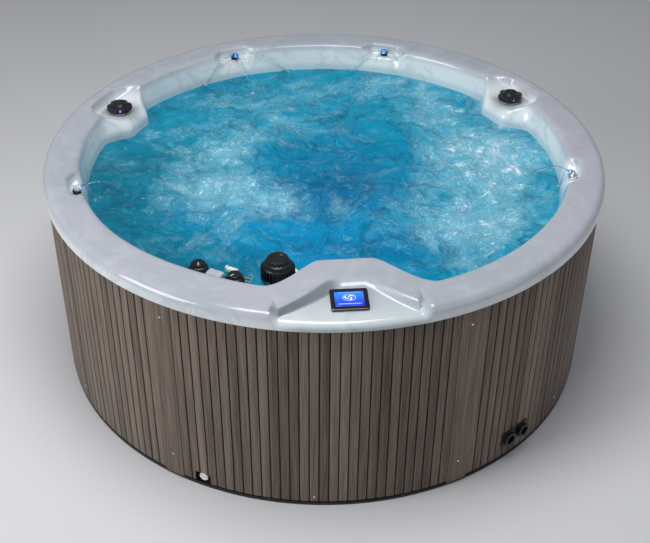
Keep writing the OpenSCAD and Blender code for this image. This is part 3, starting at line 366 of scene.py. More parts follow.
def ringOf(name, piece, count, start=0.0):
    # copies of a piece, equally spaced round its axis
    pieces = [copied(piece, f"{name}{i}", spun(start + i * 360 / count)) for i in range(count)]
    dropped(piece)
    return joined(name, pieces)


def rodded(name, first, last, radius, steps=24):
    # a straight round bar from one point to another
    first, last = Vector(first), Vector(last)
    bar = turned(name, [(radius, 0), (radius, (last - first).length)], steps)
    turn = (last - first).to_track_quat("Z", "Y").to_matrix().to_4x4()
    return moved(bar, Matrix.Translation(first) @ turn)


def swept(name, path, radii, steps=12):
    # a round thread that follows a path in the XZ plane
    way = [Vector((x, 0, z)) for x, z in path]
    piece = firstRing(radii[0], steps, way[0])

    def lean(i):
        ahead = way[min(i + 1, len(way) - 1)] - way[max(i - 1, 0)]
        return math.atan2(ahead.x, ahead.z)

    # without a window the rotate tool turns against the usual sense
    bpy.ops.transform.rotate(value=-lean(0), orient_axis="Y", center_override=way[0])
    for i in range(1, len(way)):
        bpy.ops.mesh.extrude_region_move(TRANSFORM_OT_translate={"value": way[i] - way[i - 1]})
        bpy.ops.transform.rotate(value=lean(i - 1) - lean(i), orient_axis="Y", center_override=way[i])
        size = radii[i] / radii[i - 1]
        bpy.ops.transform.resize(value=(size, size, size), center_override=way[i])
    return closedUp(piece, name)


def finished(piece, finish):
    piece.data.materials.clear()
    piece.data.materials.append(finish.material)
    return piece


def moved(piece, matrix):
    piece.data.transform(matrix)
    if matrix.to_3x3().determinant() < 0:
        piece.data.flip_normals()
    return piece


def copied(piece, name, matrix=None):
    twin = piece.copy()
    twin.data = piece.data.copy()
    twin.name = name
    twin.data.name = name
    bpy.context.scene.collection.objects.link(twin)
    return moved(twin, matrix) if matrix else twin


def joined(name, pieces):
    take(pieces[0])
    for piece in pieces:
        piece.select_set(True)
    bpy.ops.object.join()
    pieces[0].name = name
    pieces[0].data.name = name
    return pieces[0]


def assembled(name, *parts):
    # one piece of several parts, each with a finish of its own
    return joined(name, [finished(part, finish) for part, finish in parts])


def dropped(piece):
    bpy.data.objects.remove(piece, do_unlink=True)


def cutBy(piece, cutter):
    modified(piece, "BOOLEAN", object=cutter, operation="DIFFERENCE", solver="EXACT")
    dropped(cutter)
    return piece


def shown(piece, finish, body, slot, *replaced):
    if finish:
        finished(piece, finish)
    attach(piece, body)
    if replaced:
        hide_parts(*replaced)
    return piece


def spun(turn):
    return Matrix.Rotation(math.radians(turn), 4, "Z")


def atPolar(radius, turn, height):
    return spun(turn) @ Matrix.Translation((radius, 0, height))


def tipped(angle, axis="Y"):
    return Matrix.Rotation(math.radians(angle), 4, axis)


def placed(x, y, z):
    return Matrix.Translation((x, y, z))


# The tub's own sizes and turns, as in the part's source, in metres and degrees
tub = {
    "slatRadius": 1.031,
    "lipOver": 0.009,
    "rimHeight": 0.828,
    "lipDepth": 0.056,
    "edgeRound": 0.028,
    "wall": 0.008,
    "deckWidth": 0.134,
    "wallIn": 0.019,
    "backIn": 0.052,
    "seatDepth": 0.365,
    "wellIn": 0.04,
    "waterHeight": 0.722,
    "seatHeight": 0.4,
    "floorHeight": 0.084,
    "shoulderDepth": 0.081,
    "shoulders": (152.5, 27.5),
    "lobeReach": 0.19,
    "swell": (-109, 6, 44, 0.024),
    "lobeTurn": -88.7,
    "notchDrop": 0.026,
    "recessStep": 0.011,
    "fountains": (111.0, 69.3, -166.9, -13.3),
    "seats": (180, 131, 90, 49, 0, -42),
    "airKnobs": (-126.8, -116.4),
    "filterTurn": -106.6,
    "consoleTurn": -115.5,
    "shelfHeight": 0.712,
    "collarHeight": 0.012,
    "panelThick": 0.014,
    "panelTop": 0.7705,
    "panelFoot": 0.02,
    "frontTurn": -95.75,
    "frontSpan": 57.3,
    "battenWidth": 0.075,
    "battenProud": 0.003,
    "battenFoot": 0.013,
    "slatPitch": 0.0333,
    "grooveWidth": 0.0045,
    "grooveDepth": 0.004,
    "drainTurn": -118.0,
    "inlets": (-54.5, -50.6),
    "suctions": (-127.4, -88.4),
    "jetHeight": 0.57,
    "smallJetHeight": 0.65,
    "smallJetTurn": 6,
    "suctionHeight": 0.202,
    "screwHole": 0.0035,
    "battenScrews": (0.108, 0.715),
    "panelScrew": 0.077,
    "frontScrew": 0.041,
}

rimRadius = tub["slatRadius"] + tub["lipOver"]
creaseRadius = rimRadius - tub["deckWidth"]
waterRadius = creaseRadius - tub["wallIn"]
backRadius = waterRadius - tub["backIn"]
seatFront = backRadius - tub["seatDepth"]
wellRadius = seatFront - tub["wellIn"]
lobeDistance = creaseRadius - tub["lobeReach"]
rim = tub["rimHeight"]
niche = rim - 0.044
pocket = rim - 0.044
shelf = tub["shelfHeight"]
seat = tub["seatHeight"]
wallFoot = seat + 0.04
wallTop = tub["waterHeight"] - 0.022
wellFoot = tub["floorHeight"] + 0.035
wellTop = seat - 0.022
edgeRadius = rimRadius - tub["edgeRound"]
filterRadius = rimRadius - 0.335
knobRadius = rimRadius - 0.265
diverterRadius = rimRadius - 0.142
fountainRadius = rimRadius - 0.114
displayRadius = rimRadius - 0.109
wallRise = wallTop - wallFoot
wallLean = math.degrees(math.atan2(waterRadius - 0.005 - backRadius - 0.008, wallRise))
smallJetTurns = [turn + side * tub["smallJetTurn"] for turn in tub["seats"] for side in (-1, 1)]


def lerp(a, b, t):
    return a + (b - a) * t


def meet(p, q, t):
    return (lerp(p[0], q[0], t), lerp(p[1], q[1], t))


def part(t):
    return max(0.0, min(1.0, t))


def ease(t):
    t = part(t)
    return t * t * (3 - 2 * t)


def turnGap(a, b):
    gap = (a - b) % 360
    return min(gap, 360 - gap)


def hump(turn, centre, flat, foot):
    return ease((foot - turnGap(turn, centre)) / (foot - flat))


def fold(turn, centre, flat, foot):
    # as hump, but with straight sides, for the facets that are folded into the shell
    return part((foot - turnGap(turn, centre)) / (foot - flat))


def pulled(point, *pulls):
    # a point drawn towards others, each by its own part of the way
    for other, amount in pulls:
        point = meet(point, other, amount)
    return point


def wallRadius(height):
    return lerp(backRadius + 0.008, waterRadius - 0.005, (height - wallFoot) / wallRise)


def onWall(turn, height):
    # local +Z points out through the seats' wall
    return atPolar(wallRadius(height), turn, height) @ tipped(90 + wallLean)


# Diverter knobs: six lobes round a dished cap, with a lit window in one hollow
diverter = {
    "radius": 0.05,
    "height": 0.034,
    "lobes": 6,
    "hollow": 0.0085,
    "glow": tint(118, 112, 224),
    "glowStrength": 1.1,
}

# Shape of the recess that holds the display, seen from above
recess = {
    "floorRadius": rimRadius - 0.173,
    "browRadius": rimRadius - 0.205,
    "mouthRadius": rimRadius - 0.0295,
    "leftFloor": (1.9, 13.2),
    "leftBrow": (5.0, 14.1),
    "leftFold": (13.5, 14.9),
    "rightFloor": (3.3, 11.3),
    "rightBrow": (4.7, 12.9),
    "rightFold": (11.9, 13.4),
    "roll": 0.46,
    "rollRise": 0.62,
}


def recessEdge(turn, inner, turns):
    gap = turnGap(turn, tub["lobeTurn"])
    return lerp(inner, recess["mouthRadius"], part((gap - turns[0]) / (turns[1] - turns[0])))


def recessHeight(radius):
    step = (radius - recess["floorRadius"]) / (edgeRadius - recess["floorRadius"])
    return lerp(rim - tub["recessStep"], rim - tub["notchDrop"], step)


# Corners of the shell's surface in one direction, from the lip down to the footwell,
# each a radius and a height. cornerSteps has a line for each of them.
def shellCorners(turn):
    # how far this direction lies inside each moulded form, 0 to 1; a niche is drawn out towards the back
    inNiche = max(fold(turn, centre, 4.5, 10 if abs(turn - 90) < abs(centre - 90) else 7.6)
                  for centre in tub["shoulders"])
    byNiche = max(hump(turn, centre, 3.5, 11) for centre in tub["shoulders"])
    inPocket = max(hump(turn, centre, 3.2, 6.5) for centre in tub["fountains"])
    inLobe = hump(turn, tub["lobeTurn"], 6.5, 18.5)
    onShelf = hump(turn, tub["consoleTurn"], 15.5, 20.5)
    hand = "left" if (turn - tub["lobeTurn"] + 180) % 360 < 180 else "right"
    inNotch = fold(turn, tub["lobeTurn"], *recess[hand + "Fold"])
    swellTurn, swellFlat, swellFoot, swell = tub["swell"]
    deck = creaseRadius - swell * hump(turn, swellTurn, swellFlat, swellFoot)
    lobe = lobeDistance / math.cos(math.radians(min(turnGap(turn, tub["lobeTurn"]), 30)))
    crease = lerp(deck, lobe, inLobe)
    shoulder = waterRadius - tub["shoulderDepth"]
    water = lerp(lerp(waterRadius, shoulder, byNiche), crease - 0.012, inLobe)
    back = lerp(lerp(backRadius, backRadius - tub["shoulderDepth"] * 0.8, byNiche), crease - 0.058, inLobe)
    edge = lerp(rimRadius - 0.315, filterRadius - 0.094, hump(turn, tub["filterTurn"], 8, 20))
    floorEdge = recessEdge(turn, recess["floorRadius"], recess[hand + "Floor"])
    brow = recessEdge(turn, recess["browRadius"], recess[hand + "Brow"])
    roll = (lerp(floorEdge, brow, recess["roll"]), lerp(recessHeight(floorEdge), rim, recess["rollRise"]))
    out = rimRadius - 0.07
    pit = rimRadius - 0.088
    lip = rim - tub["lipDepth"]
    bend = tub["edgeRound"]
    bendHeight = rim - tub["notchDrop"] * inNotch - bend
    rows = [(rimRadius - 0.0015, lip), (rimRadius, lip + 0.002)]
    for angle in range(0, 91, 15):
        a = math.radians(angle)
        rows.append((edgeRadius + bend * math.cos(a), bendHeight + bend * math.sin(a)))

    def onDeck(share):
        return lerp(edgeRadius, crease, share), rim

    return rows + [
        pulled(onDeck(0.35), ((out + 0.028, rim), inNiche), ((floorEdge, recessHeight(floorEdge)), inNotch)),
        pulled(onDeck(0.42), ((out + 0.02, rim), inNiche), (roll, inNotch)),
        pulled(onDeck(0.65), ((out + 0.012, rim), inNiche), ((pit + 0.012, rim), inPocket),
               ((brow, rim), inNotch)),
        pulled((crease + 0.016, rim - 0.0015), ((out, niche + 0.004), inNiche),
               ((pit, rim - 0.004), inPocket)),
        pulled((crease + 0.005, rim - 0.006), ((out - 0.014, niche), inNiche),
               ((pit - 0.007, pocket), inPocket)),
        pulled((crease, rim - 0.016), ((shoulder + 0.036, niche), inNiche),
               ((crease + 0.004, pocket), inPocket)),
        pulled((water + 0.005, wallTop + 0.046), ((water + 0.007, wallTop + 0.062), byNiche),
               ((crease - 0.016, shelf), onShelf)),
        meet((water, tub["waterHeight"]), (edge + 0.012, shelf), onShelf),
        meet((water - 0.005, wallTop), (edge, shelf - 0.016), onShelf),
        meet((back + 0.008, wallFoot), (edge - 0.008, wallFoot), onShelf),
        meet((back - 0.018, seat + 0.008), (edge - 0.026, seat + 0.008), onShelf),
        (lerp((back + seatFront) / 2, (edge + seatFront) / 2, onShelf), seat),
        (seatFront + 0.022, seat),
        (seatFront, wellTop),
        (wellRadius + 0.01, wellFoot),
        (wellRadius - 0.025, tub["floorHeight"]),
        (0.11, tub["floorHeight"] - 0.004),
    ]


# The underside needs fewer rows: none for the fine steps of the lip's round edge
underKept = [i not in (1, 3, 4, 6, 7, 10) for i in range(26)]

# Rounding, its steps, and the steps after it, for each corner above
cornerSteps = (
    [(0, 0, 1), (0, 0, 2)] + [(0, 0, 1)] * 6 + [(0, 0, 3)]
    + [(0.006, 2, 2)] + [(0.008, 2, 2)] * 2 + [(0.008, 3, 1)] * 2 + [(0.01, 3, 5), (0.03, 4, 2)]
    + [(0.015, 2, 1), (0.012, 2, 5), (0.03, 4, 1), (0.03, 4, 2), (0.05, 2, 2), (0.02, 4, 1)]
    + [(0.02, 4, 4), (0.03, 4, 1), (0.03, 4, 3), (0.01, 1, 0)]
)


def sampled(corners):
    # the corners rounded, and points between them
    arcs = []
    for i, (corner, (size, steps, after)) in enumerate(zip(corners, cornerSteps)):
        arc = [corner]
        if steps and 0 < i < len(corners) - 1:
            sides = []
            for other in (corners[i - 1], corners[i + 1]):
                reach = math.dist(corner, other)
                sides.append(meet(corner, other, min(size, reach * 0.42) / reach))
            first, final = sides
            arc = [meet(meet(first, corner, t / steps), meet(corner, final, t / steps), t / steps)
                   for t in range(steps + 1)]
        arcs.append(arc)
    rows = []
    for arc, following, (size, steps, after) in zip(arcs, arcs[1:], cornerSteps):
        rows += arc + [meet(arc[-1], following[0], t / after) for t in range(1, after)]
    return rows + arcs[-1]


def underside(corners):
    # the same surface, one wall's thickness into the material
    rows = []
    for i, corner in enumerate(corners):
        before = corners[max(i - 1, 0)]
        after = corners[min(i + 1, len(corners) - 1)]
        normals = []
        for p, q in ((before, corner), (corner, after)):
            reach = math.dist(p, q)
            if reach > 0.0001:
                normals.append(((p[1] - q[1]) / reach, (q[0] - p[0]) / reach))
        r = sum(n[0] for n in normals)
        z = sum(n[1] for n in normals)
        reach = math.hypot(r, z)
        cosine = reach / len(normals)
        step = tub["wall"] / max(cosine, 0.6) / reach
        rows.append((corner[0] + r * step, corner[1] + z * step))
    return rows


def shellTurns():
    # one degree apart, and half a degree near what is moulded into the shell
    near = [(a, 12) for a in tub["shoulders"]] + [(a, 8) for a in tub["fountains"]]
    near += [(tub["lobeTurn"], 20), (tub["consoleTurn"], 22)]
    turns = [-180 + i * 0.5 for i in range(720)]
    return [turn for turn in turns if turn % 1 == 0 or any(turnGap(turn, a) < reach for a, reach in near)]


def polarPoint(radius, turn, height):
    a = math.radians(turn)
    return Vector((radius * math.cos(a), radius * math.sin(a), height))


def ringGrid(name, rings):
    # a grid rolled up round the tub's axis; its ends near the axis are closed
    turns, steps = len(rings), len(rings[0])
    deselect()
    bpy.ops.mesh.primitive_grid_add(x_subdivisions=steps - 1, y_subdivisions=turns, size=1)
    piece = bpy.context.object
    columns = [v.co.copy() for v in piece.data.vertices]
    order = sorted(range(len(columns)), key=lambda i: (round(columns[i].y, 5), columns[i].x))
    for place, i in enumerate(order):
        row, column = divmod(place, steps)
        piece.data.vertices[i].co = rings[row % turns][column]
    editing(piece)
    bpy.ops.mesh.remove_doubles(threshold=0.000001)
    bpy.ops.mesh.select_mode(type="VERT")
    for end in (0, -1):
        if rings[0][end].xy.length > 0.2:
            continue
        bpy.ops.mesh.select_all(action="DESELECT")
        shape = bmesh.from_edit_mesh(piece.data)
        for v in shape.verts:
            flat = abs(v.co.xy.length - rings[0][end].xy.length) < 0.0001
            v.select_set(v.is_boundary and flat and abs(v.co.z - rings[0][end].z) < 0.004)
        shape.select_flush(True)
        bmesh.update_edit_mesh(piece.data)
        bpy.ops.mesh.extrude_region_move(TRANSFORM_OT_translate={"value": (0, 0, 0)})
        bpy.ops.mesh.merge(type="CENTER")
    return closedUp(piece, name, False)


def onWell(turn, height):
    # local +Z points out through the footwell's wall
    rise = wellTop - wellFoot
    radius = lerp(wellRadius + 0.01, seatFront, (height - wellFoot) / rise)
    lean = math.degrees(math.atan2(seatFront - wellRadius - 0.01, rise))
    return atPolar(radius, turn, height) @ tipped(90 + lean)


recessFall = tub["notchDrop"] - tub["recessStep"]
displayLean = math.degrees(math.atan2(recessFall, edgeRadius - recess["floorRadius"]))
displayPlace = atPolar(displayRadius, tub["lobeTurn"] - 0.6, recessHeight(displayRadius))
displayPlace = displayPlace @ tipped(displayLean)

# Openings in the shell: radii, and for the display a slot
opening = {
    "jet": 0.033, "smallJet": 0.013, "diverter": 0.023, "airKnob": 0.016, "filter": 0.075,
    "fountain": 0.014, "suction": 0.029, "drain": 0.023, "display": (0.076, 0.102, 0.06),
}


def shellOpenings():
    # a round cutter for every fitting that passes through the shell
    places = [("jet", onWall(turn, tub["jetHeight"])) for turn in tub["seats"]]
    places += [("smallJet", onWall(turn, tub["smallJetHeight"])) for turn in smallJetTurns]
    places += [("diverter", atPolar(diverterRadius, turn, niche)) for turn in tub["shoulders"]]
    places += [("airKnob", atPolar(knobRadius, turn, shelf)) for turn in tub["airKnobs"]]
    places += [("filter", atPolar(filterRadius, tub["filterTurn"], shelf))]
    places += [("fountain", atPolar(fountainRadius, turn, pocket)) for turn in tub["fountains"]]
    places += [("suction", onWell(turn, tub["suctionHeight"])) for turn in tub["suctions"]]
    places += [("drain", placed(0, 0, tub["floorHeight"]))]
    cutters = []
    for i, (kind, place) in enumerate(places):
        cutter = turned(f"opening{i}", [(opening[kind], -0.03), (opening[kind], 0.03)], 48)
        cutters.append(moved(cutter, place))
    cutters.append(moved(boxed("openingDisplay", opening["display"]), displayPlace))
    return joined("shellOpenings", cutters)


def shellSkin():
    rings = []
    for turn in shellTurns():
        corners = shellCorners(turn)
        hidden = [corner for corner, kept in zip(underside(corners), underKept) if kept]
        rows = list(reversed(hidden)) + sampled(corners)
        rings.append([polarPoint(r, turn, z) for r, z in rows])
    piece = ringGrid("tubShell", rings)
    modified(piece, "BOOLEAN", object=shellOpenings(), operation="DIFFERENCE", solver="MANIFOLD")
    dropped(bpy.data.objects["shellOpenings"])
    return piece


print("stage: shell")
skin = shellSkin()
smoothed(skin, 28)


def pearlAcrylic():
    # cast acrylic: pearly, with soft grey-green marbling; the deck is painted darker and mauve and the wall
    # lighter and cooler, which is painted shade and painted light on one sheet
    finish = Finish("pearlAcrylic", Coat_Weight=0.5, Coat_Roughness=0.05, Specular_IOR_Level=0.5)
    height = finish.axes()[2]
    where = finish.stirred(finish.point, 2.0, 3, (0.7, 0.7, 0.7))
    veins = finish.maths("ABSOLUTE", finish.cloud(2.4, 6, 0.6, 0.5, where) - 0.5)
    patches = finish.band(finish.cloud(1.5, 5, 0.6, 0.4, where), 0.38, 0.66)
    mottle = finish.cloud(11, 5, 0.65, 0.3, where)
    fleck = finish.band(finish.cloud(230, 2, 0.5), 0.62, 0.72)
    # painted shade and light: the same acrylic, darker on the deck and lighter down the wall
    deck = finish.blend(patches, tint(178, 180, 190), tint(166, 173, 181))
    wall = finish.blend(patches, tint(222, 229, 231), tint(206, 218, 221))
    base = finish.layered(
        wall,
        (finish.band(height, 0.79, 0.822), deck),
        ((1 - finish.band(veins, 0.0, 0.035)) * 0.3, tint(160, 172, 178)),
        (finish.band(mottle, 0.45, 0.65) * 0.16, tint(214, 216, 224)),
        (fleck * 0.22, tint(232, 234, 240)),
        (finish.clamped(finish.mark("shade") * (mottle * 0.3 + 0.62)), tint(96, 112, 114)),
        # painted reflection: a teal band just above the water, the lit water's colour thrown onto the wall
        ((1 - finish.band(height, 0.728, 0.748 + mottle * 0.02)) * 0.45, tint(120, 172, 184)),
    )
    orangePeel = finish.cloud(30, 2, 0.5)
    finish.give(Base_Color=base, Roughness=0.13 + mottle * 0.1, Normal=finish.bump(orangePeel, 0.0006, 0.35))
    return finish


def painted(piece, name, value):
    mark = piece.data.attributes.new(name, "FLOAT", "POINT")
    for item, v in zip(mark.data, piece.data.vertices):
        item.value = value(*v.co)
    return piece


def shellShade(x, y, z):
    # soft dark tones: the recess's left wall, the lip below it, and the niche floors round the knobs
    radius, turn = math.hypot(x, y), math.degrees(math.atan2(y, x))
    side = turn - tub["lobeTurn"]
    shade = 0.0
    if recess["leftBrow"][1] > -side > recess["leftFloor"][0]:
        floorEdge = recessEdge(turn, recess["floorRadius"], recess["leftFloor"])
        brow = recessEdge(turn, recess["browRadius"], recess["leftBrow"])
        across = (radius - brow) / max(0.004, floorEdge - brow)
        shade = ease(across / 0.3) * ease((1.12 - across) / 0.2) * ease((-side - 1.9) / 2.2)
    if recess["leftFold"][0] < -side < recess["leftFold"][1] and radius > recess["mouthRadius"] - 0.022:
        shade = 0.7
    if radius > edgeRadius:
        shade = 0.62 * hump(turn, tub["lobeTurn"], 9, 15) * ease((rim - 0.03 - z) / 0.02)
    for centre in tub["shoulders"]:
        knob = polarPoint(diverterRadius, centre, 0)
        gap = math.hypot(x - knob.x, y - knob.y) - diverter["radius"]
        shade = max(shade, 0.85 * ease((0.046 - gap) / 0.046) * (radius < rimRadius - 0.076))
    return shade


acrylic = pearlAcrylic()
painted(skin, "shade", shellShade)
shown(skin, acrylic, "tub", "shell", "shell")

# Each nozzle's arcs of water: how far they reach, how far to the side, and how high they rise
fountain = {
    "arcs": (
        ((0.2, -1, 0.014), (0.165, -76, 0.018), (0.225, 76, 0.02)),
        ((0.15, -11, 0.014), (0.105, 84, 0.016), (0.14, -70, 0.016)),
        ((0.214, 1, 0.026), (0.06, 44, 0.01)),
        ((0.18, -11, 0.026), (0.05, -60, 0.01)),
    ),
    "thick": 0.0027,
    "steps": 22,
    "mouth": (-0.0165, 0, 0.0225),
    "splash": 0.016,
}


def landings():
    spots = []
    for turn, shapes in zip(tub["fountains"], fountain["arcs"]):
        for reach, side, rise in shapes:
            flight = placed(*fountain["mouth"]) @ spun(180 + side)
            spots.append((atPolar(fountainRadius, turn, 0) @ flight @ Vector((reach, 0, 0))).xy)
    return spots


splashes = landings()


def splashAt(x, y):
    # froth where an arc lands
    gaps = [math.hypot(x - spot.x, y - spot.y) / fountain["splash"] for spot in splashes]
    return min(1.0, sum(math.exp(-gap ** 2) for gap in gaps))


# The water stands in the well and is stirred by the jets; it glows with painted light from its own finish.
# Zones: centre x and y, reach along x and y, in metres
water = {
    "level": 0.72,
    "rings": 180,
    "turns": 440,
    "swell": 0.007,
    "boil": 0.014,
    "ripple": 0.0022,
    "foam": (
        (0.6, 0.06, 0.26, 0.5, 0.98), (0.72, 0.1, 0.12, 0.34, 0.3), (-0.44, 0.1, 0.24, 0.3, 0.78),
        (-0.24, -0.16, 0.26, 0.1, 0.66), (0.2, 0.62, 0.4, 0.16, 0.52), (-0.22, 0.4, 0.22, 0.22, 0.3),
        (0.46, -0.46, 0.28, 0.2, 0.62), (-0.36, 0.66, 0.24, 0.12, 0.26), (-0.46, -0.42, 0.2, 0.18, 0.26),
    ),
    "deep": (
        (0.06, -0.16, 0.28, 0.12, 1.0), (0.02, 0.1, 0.3, 0.2, 0.62), (0.12, -0.48, 0.34, 0.12, 0.7),
        (-0.5, -0.2, 0.14, 0.2, 0.2),
    ),
    "lit": ((-0.08, -0.36, 0.36, 0.2, 1.0), (-0.1, -0.62, 0.3, 0.12, 0.6)),
    "teal": (
        (-0.74, -0.1, 0.26, 0.42, 1.0), (-0.52, -0.56, 0.34, 0.2, 0.8), (-0.44, 0.68, 0.36, 0.16, 0.35),
    ),
}


zoneNames = ("foam", "deep", "lit", "teal")


def zone(name, x, y):
    amount = 0.0
    for cx, cy, reachX, reachY, strength in water[name]:
        amount += strength * math.exp(-((x - cx) / reachX) ** 2 - ((y - cy) / reachY) ** 2)
    return amount


def warped(x, y):
    # the point as the stirring has carried it
    spot = Vector((x, y, 0.3))
    shift = noise.noise_vector(spot * 2.3) * 0.17 + noise.noise_vector(spot * 6.1) * 0.05
    return x + shift.x, y + shift.y


def waterEdge(turn):
    # where the level meets the shell's wall, below the rows of the deck
    rows = shellCorners(turn)[10:21]
    for (r0, z0), (r1, z1) in zip(rows, rows[1:]):
        if z1 <= water["level"] < z0:
            return lerp(r0, r1, (z0 - water["level"]) / (z0 - z1)) + 0.0015
    return creaseRadius


def waterHeight(x, y, edge):
    spot = Vector((x, y, 0))
    foam = min(1.0, zone("foam", x, y))
    swell = noise.fractal(spot * 3.1 + Vector((5, 1, 0)), 0.7, 2.1, 3)
    carried = Vector((*warped(x, y), 0))
    boil = noise.ridged_multi_fractal(carried * 8.5, 0.9, 2.1, 4, 0.95, 2.0) - 1.15
    ripple = noise.fractal(carried * 34, 0.8, 2.0, 2)
    calm = 0.15 + 0.85 * ease(edge / 0.07)
    calm *= 1 - 0.9 * math.exp(-((x + 0.3) / 0.24) ** 2 - ((y + 0.68) / 0.16) ** 2)
    shape = swell * water["swell"] + boil * water["boil"] * (0.35 + 0.65 * foam) + ripple * water["ripple"]
    return water["level"] + shape * calm + splashAt(x, y) * (0.004 + ripple * 0.006)


def waterSurface():
    turns, rings = water["turns"], water["rings"]
    grid = []
    for i in range(turns):
        turn = -180 + i * 360 / turns
        reach = waterEdge(turn)
        row = []
        for k in range(rings):
            r = reach * (1 - k / rings) ** 0.9
            spot = polarPoint(r, turn, 0)
            row.append(Vector((spot.x, spot.y, waterHeight(spot.x, spot.y, reach - r))))
        grid.append(row)
    piece = ringGrid("tubWater", grid)
    for name in zoneNames:
        painted(piece, name, lambda x, y, z, name=name: zone(name, *warped(x, y)))
    painted(piece, "splash", lambda x, y, z: splashAt(x, y))
    return piece


print("stage: water")
surface = waterSurface()
smoothed(surface, 180)


def stirredWater():
    # milky air in clear blue water: broad zones from the mesh, and their fine pattern from noise; the lit
    # zone, the glints and the bright beads are painted light, and the whole colour also glows as painted
    # light
    finish = Finish("stirredWater", IOR=1.33, Specular_IOR_Level=0.22, Emission_Strength=0.21)
    foam, deep, lit, teal = [finish.mark(name) for name in zoneNames]
    landing = finish.mark("splash")
    where = finish.stirred(finish.stretched((1, 1, 0.3)), 2.3, 4, (0.34, 0.34, 0.0))
    churned = finish.stirred(where, 13, 4, (0.07, 0.07, 0.0))
    clouds = finish.cloud(4.6, 8, 0.66, 0.3, churned)
    froth = finish.cloud(15, 8, 0.74, 0.2, churned)
    lumps = finish.cloud(38, 5, 0.68, 0.2, churned)
    milk = finish.band(clouds * 0.95 + froth * 0.55 + lumps * 0.18 + foam * 0.42, 0.86, 1.34)
    shade = finish.band(finish.cloud(10, 7, 0.7, 0.4, churned), 0.46, 0.62)
    glints = finish.band(finish.cloud(22, 7, 0.72, 0.5, churned), 0.55, 0.7)
    dense = finish.band(froth * 0.7 + clouds * 0.7 + foam * 0.26, 0.98, 1.17)
    splash = finish.band(froth + lumps * 0.25 + foam * 0.14, 0.82, 0.93) * finish.band(foam, 0.1, 0.7)
    splash = finish.clamped(splash + finish.band(landing * froth, 0.3, 0.62) * 0.7)
    threads = finish.maths("ABSOLUTE", finish.cloud(9, 6, 0.72, 0.9, churned) - 0.5)
    threads = (1 - finish.band(threads, 0.0, 0.012)) * finish.band(lumps, 0.42, 0.62)
    # painted highlights: tiny bright sparkles of light on the froth
    beads = finish.band(finish.cloud(170, 3, 0.6, 0.0, churned), 0.6, 0.66)
    body = finish.layered(
        finish.blend(teal, tint(0, 140, 174), tint(6, 114, 138)),
        (finish.clamped(lit), tint(0, 142, 194)),
        (finish.clamped(deep * 0.95), tint(0, 106, 152)),
        (shade * 0.46, tint(0, 74, 104)),
        (glints * 0.4, tint(70, 178, 206)),
        (milk * 0.84, tint(124, 188, 208)),
        (dense * 0.72, tint(186, 212, 232)),
        (splash * 0.9, tint(226, 240, 248)),
        (threads * finish.clamped(milk * 0.7 + 0.16), tint(214, 234, 244)),
        (beads * finish.clamped(milk * 0.9 + splash) * 0.75, tint(240, 248, 252)),
    )
    ripple = finish.bump(finish.cloud(60, 5, 0.66, 0.3, churned), 0.006, 0.8)
    crests = finish.bump(froth + lumps * 0.4, 0.026, 0.75, under=ripple)
    finish.give(Base_Color=body, Roughness=finish.clamped(milk * 0.22 + splash * 0.3 + 0.06), Normal=crests,
                Emission_Color=body)
    return finish


shown(surface, stirredWater(), "tub", "shell")

# Cabinet: slatted panels, and wide battens between them
print("stage: cabinet")
battenDegrees = math.degrees(tub["battenWidth"] / tub["slatRadius"])
sideSpan = (360 - tub["frontSpan"]) / 5
firstBatten = tub["frontTurn"] - tub["frontSpan"] / 2
battenTurns = [firstBatten] + [firstBatten + tub["frontSpan"] + i * sideSpan for i in range(5)]
inlet = {
    "height": 0.1,
    "hole": 0.022,
    "ring": 0.027,
    "bore": 0.017,
    "pipe": 0.021,
    "plate": (0.005, 0.058, 0.064),
}


def composite():
    # brown composite with a drawn grain; each board is shifted and toned by its own number
    finish = Finish("compositeSlat", Roughness=0.62, Specular_IOR_Level=0.35)
    x, y, z = finish.axes()
    azimuth = finish.maths("ARCTAN2", y, x)
    tone = finish.mark("boardTone")

    def along(detail, rough, across, shift, up):
        return finish.cloud(1.0, detail, rough, where=finish.joined(across, tone * shift, z * up))

    wave = along(3, 0.5, azimuth * 14, 31, 2.2) - 0.5
    grain = along(6, 0.66, azimuth * 380 + wave * 9, 57, 4.5)
    broad = along(4, 0.6, azimuth * 62, 23, 1.3)
    pores = along(3, 0.6, azimuth * 1500, 11, 26)
    shade = finish.clamped(grain * 0.75 + broad * 0.3 + (tone - 0.5) * 0.15)
    radius = finish.vector("LENGTH", finish.stretched((1, 1, 0)), (0, 0, 0), out="Value")
    floor = tub["slatRadius"] - tub["grooveDepth"]
    base = finish.layered(
        finish.ramp(shade, (0.32, tint(58, 49, 42)), (0.46, tint(92, 80, 70)), (0.57, tint(116, 103, 92)),
                    (0.72, tint(142, 129, 116))),
        (finish.band(pores, 0.6, 0.72) * 0.5, tint(70, 60, 54)),
        # painted shade: the groove floor between the boards is darkened nearly to black
        (1 - finish.band(radius, floor - 0.0002, floor + 0.0018), tint(26, 22, 20)),
    )
    relief = finish.bump(grain * 0.6 + pores * 0.4, 0.0012, 0.6)
    finish.give(Base_Color=base, Roughness=0.5 + pores * 0.25, Normal=relief)
    return finish


slatFinish = composite()


def toned(piece, tone):
    # every board has its own tone, which the grain reads
    return painted(piece, "boardTone", lambda x, y, z: tone)


def arcBand(name, inner, outer, low, high, start, end):
    # a bent board: one upright face swept round the tub's axis
    deselect()
    bpy.ops.mesh.primitive_plane_add(size=1, location=((inner + outer) / 2, 0, (low + high) / 2),
                                     rotation=(math.pi / 2, 0, 0))
    piece = bpy.context.object
    piece.scale = (outer - inner, high - low, 1)
    settle(piece, name)
    moved(piece, spun(start))
    editing(piece)
    steps = max(2, round((end - start) / 1.9))
    # without a window the spin tool turns against the usual sense
    bpy.ops.mesh.spin(steps=steps, angle=-math.radians(end - start), center=(0, 0, 0), axis=(0, 0, 1))
    done()
    return outward(piece)


